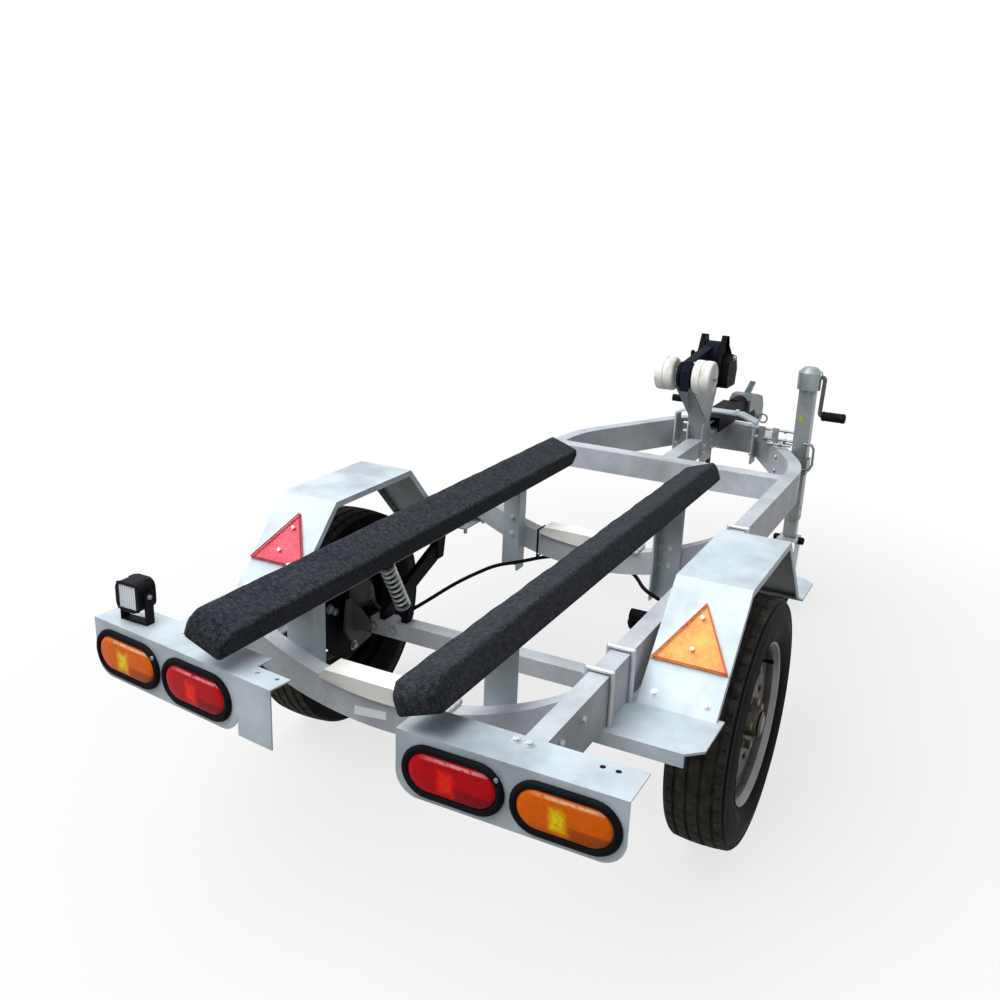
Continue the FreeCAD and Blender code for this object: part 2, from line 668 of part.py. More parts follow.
# --------------------------------------------------------------------------------------------- lamp boards
BOARD_TOP = "(rail_top+board_wall)"
LAMP_Z = f"({BOARD_TOP}-lamp_drop)"
LAMP_LENGTH = "((board_out-board_in-lamp_inset-lamp_between-lamp_edge)/2)"
LAMP_IN = f"(board_in+lamp_inset+{LAMP_LENGTH}/2)"
LAMP_OUT = f"(board_out-lamp_edge-{LAMP_LENGTH}/2)"
HOLE_LENGTH = f"({LAMP_LENGTH}-lamp_rim)"
HOLE_HEIGHT = "(lamp_height-lamp_rim)"


def swung(name, *items):
    """Items of the left lamp board, turned with it about its middle."""
    middle, behind = "((board_in+board_out)/2)", "(board_rear-axle_y)"
    item = group(name, *items)
    place(item, f"-{middle}+swing_in+{middle}*cos(board_swing)+{behind}*sin(board_swing)",
          f"-{behind}+swing_ahead-{middle}*sin(board_swing)+{behind}*cos(board_swing)",
          turn=((0, 0, 1), "-board_swing"))
    return item


def right_and_swung(name, item):
    return group(name, item, swung(name + "_left", mirror(name + "_mirrored", item)))


def lamp_board():
    low, high, corner = "board_in", "board_out", "board_corner"
    foot = f"({BOARD_TOP}-board_height)"
    sheet_outline = [
        (f"{low}+{corner}", foot),
        (f"{high}-{corner}", foot, corner, 1),
        (high, f"{foot}+{corner}"),
        (high, BOARD_TOP),
        (low, BOARD_TOP),
        (low, f"{foot}+{corner}", corner, 1),
    ]
    holes = [slot_outline(x, LAMP_Z, HOLE_LENGTH, HOLE_HEIGHT) for x in (LAMP_IN, LAMP_OUT)]
    face = pad("board_face", "XZ", [sheet_outline, *holes], "board_wall",
               at=("0", "axle_y-board_rear+board_wall/2", "0"))
    flange = block("board_flange", low, "axle_y-board_rear", "rail_top", f"{high}-{low}", "board_depth",
                   "board_wall")
    return fuse("board_sheet", face, flange)


def lamp_ring(name, x):
    """A rubber surround: a lip on the board's rear face and a neck through the board."""
    inner = slot_outline(x, LAMP_Z, f"({LAMP_LENGTH}-2*lamp_rim)", "(lamp_height-2*lamp_rim)")
    lip = pad(name + "_lip", "XZ", [slot_outline(x, LAMP_Z, LAMP_LENGTH, "lamp_height"), inner],
              "lamp_lip",
              at=("0", "axle_y-board_rear-lamp_lip/2", "0"))
    neck = pad(name + "_neck", "XZ", [slot_outline(x, LAMP_Z, f"({HOLE_LENGTH}-0.4)",
                                                   f"({HOLE_HEIGHT}-0.4)"), inner],
               "lamp_lip", at=("0", "axle_y-board_rear+lamp_lip/2", "0"))
    return fuse(name, lip, neck)


def lamp_lens(name, x):
    return pad(name, "XZ", [slot_outline(x, LAMP_Z, f"({LAMP_LENGTH}-2*lamp_rim)",
                                         "(lamp_height-2*lamp_rim)")],
               "2*lamp_lip", at=("0", "axle_y-board_rear", "0"))


def make_lamps():
    board = lamp_board()
    node("lamp_board_right", board)
    node("lamp_board_left", swung("board_left", mirror("board_mirrored", board)))
    rings = group("rings_right", lamp_ring("ring_in", LAMP_IN), lamp_ring("ring_out", LAMP_OUT))
    node("lamp_surrounds", right_and_swung("rings", rings))
    node("lamp_lenses_red", right_and_swung("reds", lamp_lens("red_lens", LAMP_IN)))
    node("lamp_lenses_amber", right_and_swung("ambers", lamp_lens("amber_lens", LAMP_OUT)))

    low = "(-board_in)"
    face = block("plate_face", low, "axle_y-board_rear", f"{BOARD_TOP}-board_height", "plate_width",
                 "board_wall",
                 "board_height")
    flange = block("plate_flange", low, "axle_y-board_rear", "rail_top", "plate_width", "plate_depth",
                   "board_wall")
    beside, behind = "((board_in+board_out)/2-board_in+plate_width/2)", "(plate_depth-16)"
    middle_x = f"(-(board_in+board_out)/2+swing_in+{beside}*cos(board_swing)+{behind}*sin(board_swing))"
    middle_y = f"(axle_y-board_rear+swing_ahead-{beside}*sin(board_swing)+{behind}*cos(board_swing))"
    holes = [
        rod(f"plate_hole_{k}", "Z", f"{middle_x}{side}plate_holes/2", middle_y, "rail_top-1", "plate_hole",
            "board_wall+2")
        for k, side in enumerate("-+")
    ]
    sheet_metal = swung("plate_sheet", fuse("plate_angle", face, flange))
    node("number_plate_bracket", cut("plate_bracket", sheet_metal, *holes))


def make_work_lamp():
    z = f"({BOARD_TOP}+work_lift+work_high/2)"
    half, high, corner = "work_wide/2", "work_high/2", "work_corner"
    y = "(axle_y-work_y)"
    rear = f"{y}-work_deep/2"
    shell = pad("work_shell", "XZ", [[
        (f"-{half}+{corner}", f"-{high}"), (f"{half}-{corner}", f"-{high}", corner, 1),
        (half, f"-{high}+{corner}"), (half, f"{high}-{corner}", corner, 1),
        (f"{half}-{corner}", high), (f"-{half}+{corner}", high, corner, 1),
        (f"-{half}", f"{high}-{corner}"), (f"-{half}", f"-{high}+{corner}", corner, 1),
    ]], "work_deep", at=("-work_x", y, z))
    pocket = block("work_pocket", "-work_x-work_wide/2+work_rim", f"{rear}-1", f"{z}-work_high/2+work_rim",
                   "work_wide-2*work_rim", "11", "work_high-2*work_rim")
    base = block("work_base", "-work_x-work_wide/2-5", f"{y}-10", BOARD_TOP, "work_wide+10", "20", "4")
    cheek = block("work_cheek", "-work_x-work_wide/2-5", f"{y}-10", BOARD_TOP, "4", "20",
                  f"{z}-{BOARD_TOP}+8")
    other = block("work_cheek_other", "-work_x+work_wide/2+1", f"{y}-10", BOARD_TOP, "4", "20",
                  f"{z}-{BOARD_TOP}+8")
    pin_rod = rod("work_pin", "X", "-work_x-work_wide/2-5", y, z, "5", "work_wide+10")
    node("work_lamp", cut("work_body", fuse("work_solid", shell, base, cheek, other, pin_rod), pocket))
    node("work_lamp_lens", block("work_glass", "-work_x-work_wide/2+work_rim+0.3", f"{rear}+2",
                                 f"{z}-work_high/2+work_rim+0.3", "work_wide-2*work_rim-0.6", "7.7",
                                 "work_high-2*work_rim-0.6"))


# -------------------------------------------------------------------------------------------------- wheels
def make_wheel():
    half, tread = "(tyre_width/2)", "(tread_width/2)"
    rise = "(tyre_radius-rim_radius)"
    top = [(f"-{tread}", "tyre_radius")]
    for middle in ("-tread_width/4", "0", "tread_width/4"):
        top += [
            (f"{middle}-groove_width/2", "tyre_radius"),
            (f"{middle}-groove_width/2", "tyre_radius-groove_depth"),
            (f"{middle}+groove_width/2", "tyre_radius-groove_depth"),
            (f"{middle}+groove_width/2", "tyre_radius"),
        ]
    top += [(tread, "tyre_radius")]
    outline = top + [
        (f"{tread}+6", "tyre_radius-8"),
        (half, f"tyre_radius-{rise}*0.45"),
        (f"{half}-3", f"rim_radius+{rise}*0.18"),
        ("rim_half", "rim_radius"),
        ("rim_half-rim_wall", "rim_radius"),
        ("rim_half-rim_wall", "rim_radius-12"),
        ("rim_half-22", "rim_radius-12"),
        (f"{tread}-2", "tyre_radius-22"),
        (f"-{tread}+2", "tyre_radius-22"),
        ("-rim_half+22", "rim_radius-12"),
        ("-rim_half+rim_wall", "rim_radius-12"),
        ("-rim_half+rim_wall", "rim_radius"),
        ("-rim_half", "rim_radius"),
        (f"-{half}+3", f"rim_radius+{rise}*0.18"),
        (f"-{half}", f"tyre_radius-{rise}*0.45"),
        (f"-{tread}-6", "tyre_radius-8"),
    ]
    centre = ("track_half", "axle_y", "tyre_radius")
    pair("tyre", spin("tyre_ring", [outline], centre))

    well = "(rim_radius-36)"
    seat = "(rim_radius-12)"
    barrel = [
        ("-rim_half", "rim_radius"), ("-rim_half+rim_wall", "rim_radius"), ("-rim_half+rim_wall", seat),
        ("-rim_half+22", seat), ("-rim_half+34", well), ("rim_half-34", well), ("rim_half-22", seat),
        ("rim_half-rim_wall", seat), ("rim_half-rim_wall", "rim_radius"), ("rim_half", "rim_radius"),
        ("rim_half", f"{seat}-rim_wall"), ("rim_half-22", f"{seat}-rim_wall"),
        ("disc_offset+rim_wall", f"{well}-rim_wall"), ("disc_offset+rim_wall", "drum_radius"),
        ("disc_offset+rim_wall+10", "drum_radius-22"), ("disc_offset+rim_wall+10", "drum_radius-40"),
        ("disc_offset+rim_wall", "drum_radius-48"), ("disc_offset+rim_wall", "hub_radius+0.3"),
        ("disc_offset", "hub_radius+0.3"), ("disc_offset", "drum_radius-48"),
        ("disc_offset+10", "drum_radius-40"), ("disc_offset+10", "drum_radius-22"),
        ("disc_offset", "drum_radius"), ("disc_offset", f"{well}-rim_wall"),
        ("-rim_half+34", f"{well}-rim_wall"), ("-rim_half+22", f"{seat}-rim_wall"),
        ("-rim_half", f"{seat}-rim_wall"),
    ]
    pair("wheel_rim", spin("rim_ring", [barrel], centre))

    drum_low = "(disc_offset-drum_depth)"
    bore = "(spindle_radius+shaft_gap)"
    profile = [
        (drum_low, bore), (drum_low, "hub_radius"), ("disc_offset-8", "hub_radius"),
        ("disc_offset-8", "drum_radius-6"),
        (drum_low, "drum_radius-6"), (drum_low, "drum_radius"), ("disc_offset", "drum_radius"),
        ("disc_offset", "hub_radius"), ("disc_offset+34", "hub_radius"), ("disc_offset+42", "hub_radius-8"),
        ("disc_offset+42", "0"), ("disc_offset+16", "0"), ("disc_offset+16", bore),
    ]
    pair("brake_drum", spin("drum_ring", [profile], centre))


# ---------------------------------------------------------------------------------------- axle and springs
def make_axle():
    beam = block("axle_bar", "-axle_end", "axle_y-axle_size/2", "tyre_radius-axle_size/2", "2*axle_end",
                 "axle_size",
                 "axle_size")
    hollow = block("axle_hollow", "-axle_end+axle_wall", "axle_y-axle_size/2+axle_wall",
                   "tyre_radius-axle_size/2+axle_wall", "2*(axle_end-axle_wall)", "axle_size-2*axle_wall",
                   "axle_size-2*axle_wall")
    tube = cut("axle_tube", beam, hollow)
    tip = "(track_half+disc_offset+10)"
    right = rod("spindle_right", "X", "axle_end", "axle_y", "tyre_radius", "spindle_radius",
                f"{tip}-axle_end")
    left = mirror("spindle_left", right)
    node("axle_beam", fuse("axle", tube, right, left))

    inner = "(track_half+disc_offset-drum_depth-back_gap-4)"
    disc = rod("back_disc", "X", inner, "axle_y", "tyre_radius", "back_radius", "4")
    neck = rod("back_neck", "X", "axle_end", "axle_y", "tyre_radius", "hub_radius", f"{inner}-axle_end")
    bore = rod("back_bore", "X", "axle_end-1", "axle_y", "tyre_radius", "spindle_radius", "150")
    node("brake_back_plates", both_sides("back_plates",
                                         cut("back_plate", fuse("back_disc_neck", disc, neck), bore)))


def make_arms():
    """A black arm from a bracket under the rail back to the axle beam, on each side."""
    across = "(rail_outer-rail_width/2)"
    top = "(tyre_radius+axle_size/2)"
    rear = "(-axle_size/2)"
    corners = [
        (rear, top), ("arm_half", top), ("arm_pivot_y+arm_half*0.6", f"{ARM_PIVOT}-arm_half*0.8"),
        ("arm_pivot_y+arm_half*0.6", f"{ARM_PIVOT}+arm_half*0.8"),
        ("arm_pivot_y-arm_half*0.8", f"{ARM_PIVOT}+arm_half*0.8"),
        (rear, f"{top}+arm_half"),
    ]
    arm = pad("arm_plate", "YZ", [corners], "arm_thick", at=(across, "axle_y", "0"))
    cheek = [
        ("arm_pivot_y-arm_half", RAIL_LOW), ("arm_pivot_y-arm_half*0.5", f"{ARM_PIVOT}-arm_half"),
        ("arm_pivot_y+arm_half*0.5", f"{ARM_PIVOT}-arm_half"), ("arm_pivot_y+arm_half", RAIL_LOW),
    ]
    inner = pad("cheek_inner", "YZ", [cheek], "5", at=(f"{across}-arm_thick/2-2.5", "axle_y", "0"))
    outer = pad("cheek_outer", "YZ", [cheek], "5", at=(f"{across}+arm_thick/2+2.5", "axle_y", "0"))
    node("suspension_arms", both_sides("arms", arm))
    node("arm_brackets", both_sides("arm_cheeks", group("cheek_pair", inner, outer)))


# Route of the right-hand brake cable: across, ahead of the axle, above the ground.
CABLE_ROUTE = [
    (497.7, 70, 240),
    (455, 70, 240),
    (420, 118, 253),
    (385, 180, 277),
    (325, 270, 325),
    (250, 340, 365),
    (185, 352, 384),
    (135, 425, 388),
    (80, 488, 380),
    (25.3, 490, 378),
]


def tube_along(name, points, radius):
    """A round tube of straight runs joined by tangent arcs."""
    points = [FreeCAD.Vector(*point) for point in points]
    edges, start = [], points[0]
    for before, corner, after in zip(points, points[1:], points[2:]):
        back = (before - corner).normalize()
        ahead = (after - corner).normalize()
        trim = 0.45 * min((before - corner).Length, (after - corner).Length)
        half_turn = (math.pi - back.getAngle(ahead)) / 2
        bend = trim / math.tan(half_turn)
        middle = (back + ahead).normalize()
        on_arc = corner + middle * (bend / math.cos(half_turn) - bend)
        edges.append(Part.LineSegment(start, corner + back * trim).toShape())
        edges.append(Part.Arc(corner + back * trim, on_arc, corner + ahead * trim).toShape())
        start = corner + ahead * trim
        print(f"{name}: bend radius {bend:.0f} mm")
    edges.append(Part.LineSegment(start, points[-1]).toShape())
    path = Part.Wire(edges)
    ring = Part.Wire(Part.Circle(points[0], points[1] - points[0], radius).toShape())
    item = doc.addObject("Part::Feature", name)
    item.Shape = path.makePipeShell([ring], True, True)
    section = math.pi * radius**2
    print(f"{name}: volume over section times length {item.Shape.Volume / (section * path.Length):.3f}")
    return item


def make_brakes():
    axle = number("axle_y")
    route = [(x, axle + y, z) for x, y, z in CABLE_ROUTE]
    node("brake_cables", both_sides("cables", tube_along("cable", route, number("cable_radius"))))
    end_x, end_y, end_z = CABLE_ROUTE[-1]
    bar = block("equaliser_bar", "-equaliser_half", f"axle_y+{end_y}-12", f"{end_z}-13",
                "2*equaliser_half", "24", "26")
    lever_y = "(roller_y+post_ahead+post_half+75)"
    pull = rod("brake_pull", "Y", "0", f"axle_y+{end_y}", f"{end_z}", "pull_radius", f"{lever_y}-{end_y}")
    lever = block("brake_lever", "-5", f"axle_y+{lever_y}-16", f"{end_z}-16", "10", "32",
                  f"rail_top-keel_height-{end_z}+16")
    node("brake_rod", fuse("brake_linkage", bar, pull, lever))


DAMPER_FOOT = "(tyre_radius+damper_foot)"
DAMPER_LEAN = "atan(damper_head_y/damper_rise)"
DAMPER_SPAN = "sqrt(damper_head_y^2+damper_rise^2)"


def on_damper(name, kind, inner, outer, start, stop):
    """A rod or tube round the damper's line, from its lower eye towards its upper eye."""
    item = doc.addObject("Part::Cylinder", name)
    bind(item, "Radius", outer)
    bind(item, "Height", f"({stop})-({start})")
    foot = ("damper_across", f"axle_y-({start})*sin({DAMPER_LEAN})",
            f"{DAMPER_FOOT}+({start})*cos({DAMPER_LEAN})")
    place(item, *foot, turn=((1, 0, 0), DAMPER_LEAN))
    if kind == "rod":
        return item
    core = doc.addObject("Part::Cylinder", name + "_core")
    bind(core, "Radius", inner)
    bind(core, "Height", f"({stop})-({start})")
    place(core, *foot, turn=((1, 0, 0), DAMPER_LEAN))
    return cut(name + "_tube", item, core)


def make_dampers():
    body = on_damper("damper_body", "rod", "0", "damper_radius", "8", f"{DAMPER_SPAN}*0.55")
    shaft = on_damper("damper_shaft", "rod", "0", "damper_rod", f"{DAMPER_SPAN}*0.5", f"{DAMPER_SPAN}-8")
    low_seat = on_damper("damper_low_seat", "rod", "0", "spring_radius+2", "26", "32")
    high_seat = on_damper("damper_high_seat", "rod", "0", "spring_radius+2", f"{DAMPER_SPAN}-26",
                          f"{DAMPER_SPAN}-20")
    low_eye = rod("damper_low_eye", "X", "damper_across-14", "axle_y", DAMPER_FOOT, "eye_radius", "28")
    high_eye = rod("damper_high_eye", "X", "damper_across-14", "axle_y-damper_head_y",
                   f"{DAMPER_FOOT}+damper_rise", "eye_radius",
                   f"{RAIL_INNER}-damper_across+14")
    lug = block("damper_lug", "damper_across-8", "axle_y-12", "tyre_radius+axle_size/2", "16", "24",
                "damper_foot-axle_size/2")
    whole = fuse("damper_whole", body, shaft, low_seat, high_seat, low_eye, high_eye, lug)
    node("dampers", both_sides("damper_pair", whole))
    coil = on_damper("spring_coil", "tube", "spring_radius-spring_wire", "spring_radius", "32.3",
                     f"{DAMPER_SPAN}-26.3")
    node("springs", both_sides("spring_pair", coil))


# ------------------------------------------------------------------------------------ winch post and winch
FOOT_Y = "(roller_y+post_ahead)"


def make_winch_post():
    low = "(rail_top-keel_height-25)"
    cheek = [
        (f"{FOOT_Y}-post_half", low), (f"{FOOT_Y}+post_half", low),
        (f"{FOOT_Y}+post_half-5", "rail_top-22"),
        (f"{FOOT_Y}+5", "rail_top+62"), (f"{FOOT_Y}+57", "post_top-25"), (f"{FOOT_Y}+57", "post_top"),
        ("roller_y+60", "post_top"), ("roller_y+24", "roller_z+20"), ("roller_y-22", "roller_z+20"),
        ("roller_y-22", "roller_z-32"), (f"{FOOT_Y}-47", "rail_top+74"),
        (f"{FOOT_Y}-post_half", "rail_top+50"),
    ]
    beside = "(keel_width/2+0.5+post_wall/2)"
    right = pad("post_cheek", "YZ", [cheek], "post_wall", at=(beside, "axle_y", "0"))
    left = mirror("post_cheek_left", right)
    web_line = [(f"{FOOT_Y}-36", "rail_top"), (f"{FOOT_Y}-32", "rail_top"), (f"{FOOT_Y}-96", "post_top"),
                (f"{FOOT_Y}-100", "post_top")]
    web = pad("post_web", "YZ", [web_line], "post_wide", at=("0", "axle_y", "0"))
    cap = block("post_cap", "-post_wide/2", f"axle_y+{FOOT_Y}-98", "post_top-post_wall", "post_wide", "155",
                "post_wall")
    shaft_half = "(post_wide/2+roller_side+roller_width+10)"
    shaft = rod("roller_spindle", "X", f"-{shaft_half}", "axle_y+roller_y", "roller_z", "roller_shaft",
                f"2*{shaft_half}")
    sleeve = rod("roller_sleeve", "X", "post_wide/2", "axle_y+roller_y", "roller_z", "roller_shaft+7",
                 "roller_side-1")
    sleeves = group("roller_sleeves", sleeve, mirror("roller_sleeve_left", sleeve))
    node("winch_post", fuse("post", right, left, web, cap, shaft, sleeves))

    bore = "(roller_shaft+shaft_gap)"
    near = "(post_wide/2+roller_side)"
    white = [
        (near, bore), (f"{near}+roller_width", bore), (f"{near}+roller_width", "roller_radius-6"),
        (f"{near}+roller_width-6", "roller_radius"), (f"{near}+roller_width/2+2", "roller_radius"),
        (f"{near}+roller_width/2", "roller_radius-2"), (f"{near}+roller_width/2-2", "roller_radius"),
        (f"{near}+6", "roller_radius"), (near, "roller_radius-6"),
    ]
    centre = ("0", "axle_y+roller_y", "roller_z")
    ring = spin("white_roller", [white], centre)
    node("bow_rollers_white", group("white_rollers", ring, mirror("white_roller_left", ring)))
    black = [("-core_width/2", bore), ("core_width/2", bore), ("core_width/2", "core_radius"),
             ("-core_width/2", "core_radius")]
    node("bow_roller_centre", spin("black_roller", [black], centre))


DRUM_Y = "(roller_y+drum_ahead)"
DRUM_Z = "(post_top+drum_lift)"


def make_winch():
    base = "post_top"
    rear = f"({DRUM_Y}-75)"
    cheek = [
        (rear, base), (f"{DRUM_Y}+62", base), (f"{DRUM_Y}+72", f"{DRUM_Z}-30"),
        (f"{DRUM_Y}+62", f"{DRUM_Z}+10"), (f"{DRUM_Y}+30", f"{DRUM_Z}+34"),
        (f"{DRUM_Y}+16", f"{DRUM_Z}+70"),
        (f"{DRUM_Y}-14", f"{DRUM_Z}+74"), (f"{DRUM_Y}-50", f"{DRUM_Z}+10"), (rear, f"{DRUM_Z}-60"),
    ]
    inside = "(winch_wide/2-winch_wall/2)"
    right = pad("winch_cheek_right", "YZ", [cheek], "winch_wall",
                at=(f"winch_shift+{inside}", "axle_y", "0"))
    left = pad("winch_cheek_left", "YZ", [cheek], "winch_wall", at=(f"winch_shift-{inside}", "axle_y", "0"))
    floor = block("winch_floor", "winch_shift-winch_wide/2", f"axle_y+{rear}", base, "winch_wide",
                  f"{DRUM_Y}+62-{rear}", "winch_wall")
    axle = rod("winch_axle", "X", "winch_shift-winch_wide/2", f"axle_y+{DRUM_Y}", DRUM_Z, "strap_core",
               "winch_wide+14")
    case_outline = [
        (f"{DRUM_Y}-44", base), (f"{DRUM_Y}+50", base), (f"{DRUM_Y}+62", f"{DRUM_Z}-44"),
        (f"{DRUM_Y}+40", f"{DRUM_Z}+2"), (f"{DRUM_Y}-14", f"{DRUM_Z}+16"), (f"{DRUM_Y}-44", f"{DRUM_Z}-10"),
        (f"{DRUM_Y}-52", f"{DRUM_Z}-60"),
    ]
    case = pad("winch_case", "YZ", [case_outline], "case_wide",
               at=("winch_shift+winch_wide/2+case_wide/2", "axle_y", "0"))
    node("winch_frame", fuse("winch_body", right, left, floor, axle, case))

    reach = "(winch_shift-winch_wide/2-handle_gap)"
    arm = block("handle_arm", f"{reach}-6", f"axle_y+{DRUM_Y}-11", f"{DRUM_Z}-handle_length-11", "6", "22",
                "handle_length+22")
    stub = rod("handle_stub", "X", reach, f"axle_y+{DRUM_Y}", DRUM_Z, "8", "handle_gap")
    grip = rod("handle_grip_rod", "X", f"{reach}-6-handle_grip", f"axle_y+{DRUM_Y}",
               f"{DRUM_Z}-handle_length", "12",
               "handle_grip")
    node("winch_handle", fuse("handle", arm, stub, grip))

    roll = rod("strap_roll", "X", "winch_shift-strap_width/2", f"axle_y+{DRUM_Y}", DRUM_Z, "strap_radius",
               "strap_width")
    core = rod("strap_core_hole", "X", "winch_shift-strap_width/2-1", f"axle_y+{DRUM_Y}", DRUM_Z,
               "strap_core",
               "strap_width+2")
    inner, outer, turn = "(core_radius+2)", "(core_radius+2+strap_thick)", "tan(22.5)"
    band = [
        (f"{DRUM_Y}-12", f"{DRUM_Z}+strap_radius-8"), (f"{DRUM_Y}-12", f"{DRUM_Z}+strap_radius-2"),
        (f"roller_y-{outer}*{turn}", f"roller_z+{outer}"),
        (f"roller_y-{outer}", f"roller_z+{outer}*{turn}"),
        (f"roller_y-{outer}", "roller_z-strap_drop"), (f"roller_y-{inner}", "roller_z-strap_drop"),
        (f"roller_y-{inner}", f"roller_z+{inner}*{turn}"),
        (f"roller_y-{inner}*{turn}", f"roller_z+{inner}"),
    ]
    tail = pad("strap_tail", "YZ", [band], "strap_tail_width", at=("winch_shift/2", "axle_y", "0"))
    node("winch_strap", fuse("strap", cut("strap_ring", roll, core), tail))


# ------------------------------------------------------------------------------------------------ coupling
HEAD_END = "(bellows_end+head_length)"


def make_coupling():
    length = "(housing_end-housing_start)"
    shell = block("housing_shell", "-housing_wide/2", "axle_y+housing_start", "rail_top", "housing_wide",
                  length,
                  "housing_high")
    inside = block("housing_inside", "-housing_wide/2+housing_wall", "axle_y+housing_start-1", "rail_top-1",
                   "housing_wide-2*housing_wall", f"{length}-30", "housing_high-housing_wall+1")
    node("coupling_housing", cut("housing", shell, inside))
    level = "(rail_top+housing_high/2)"
    bellows = rod("bellows_tube", "Y", "0", "axle_y+housing_end", level, "bellows_radius",
                  "bellows_end-housing_end")
    node("coupling_bellows", bellows)
    hood = [
        ("bellows_end", f"{level}-bellows_radius"), (f"{HEAD_END}-140", f"{level}-bellows_radius"),
        (f"{HEAD_END}-100", f"{level}-head_drop"), (HEAD_END, f"{level}-head_drop"),
        (HEAD_END, f"{level}-38"), (f"{HEAD_END}-30", f"{level}+2"), ("bellows_end+94", f"{level}+27"),
        ("bellows_end+34", f"{level}+29"), ("bellows_end", f"{level}+14"),
    ]
    body = pad("head_hood", "YZ", [hood], "head_wide", at=("0", "axle_y", "0"))
    ball = doc.addObject("Part::Sphere", "socket")
    bind(ball, "Radius", "ball_radius")
    place(ball, "0", f"axle_y+{HEAD_END}-45", f"{level}-head_drop+8")
    node("coupling_head", cut("head", body, ball))
    arm = [
        ("bellows_end+94", f"{level}+27"), ("bellows_end+124", f"{level}+19.5"),
        ("bellows_end+186", f"{level}+52"),
        ("bellows_end+176", f"{level}+60"),
    ]
    node("coupling_lever", pad("lever_arm", "YZ", [arm], "20", at=("0", "axle_y", "0")))

    top = "(rail_top+housing_high+portal_wall)"
    low = "(rail_top-rail_height-15)"
    edge, wall = "portal_half", "portal_wall"
    arch = [
        (f"-{edge}", low), (f"-{edge}+{wall}", low), (f"-{edge}+{wall}", "rail_top+32"),
        ("-portal_flat+4", f"{top}-{wall}"), ("portal_flat-4", f"{top}-{wall}"),
        (f"{edge}-{wall}", "rail_top+32"), (f"{edge}-{wall}", low), (edge, low), (edge, "rail_top+36"),
        ("portal_flat", top), ("-portal_flat", top), (f"-{edge}", "rail_top+36"),
    ]
    node("coupling_arch", pad("arch_strap", "XZ", [arch], "portal_wide", at=("0", "axle_y+portal_y", "0")))

    ring = doc.addObject("Part::Torus", "ring_wire")
    bind(ring, "Radius1", "hook_ring")
    bind(ring, "Radius2", "hook_wire")
    place(ring, "head_wide/2+hook_ring+hook_wire+0.3", "axle_y+bellows_end+150", f"{level}-80",
          turn=((1, 0, 0), "90"))
    node("breakaway_ring", ring)


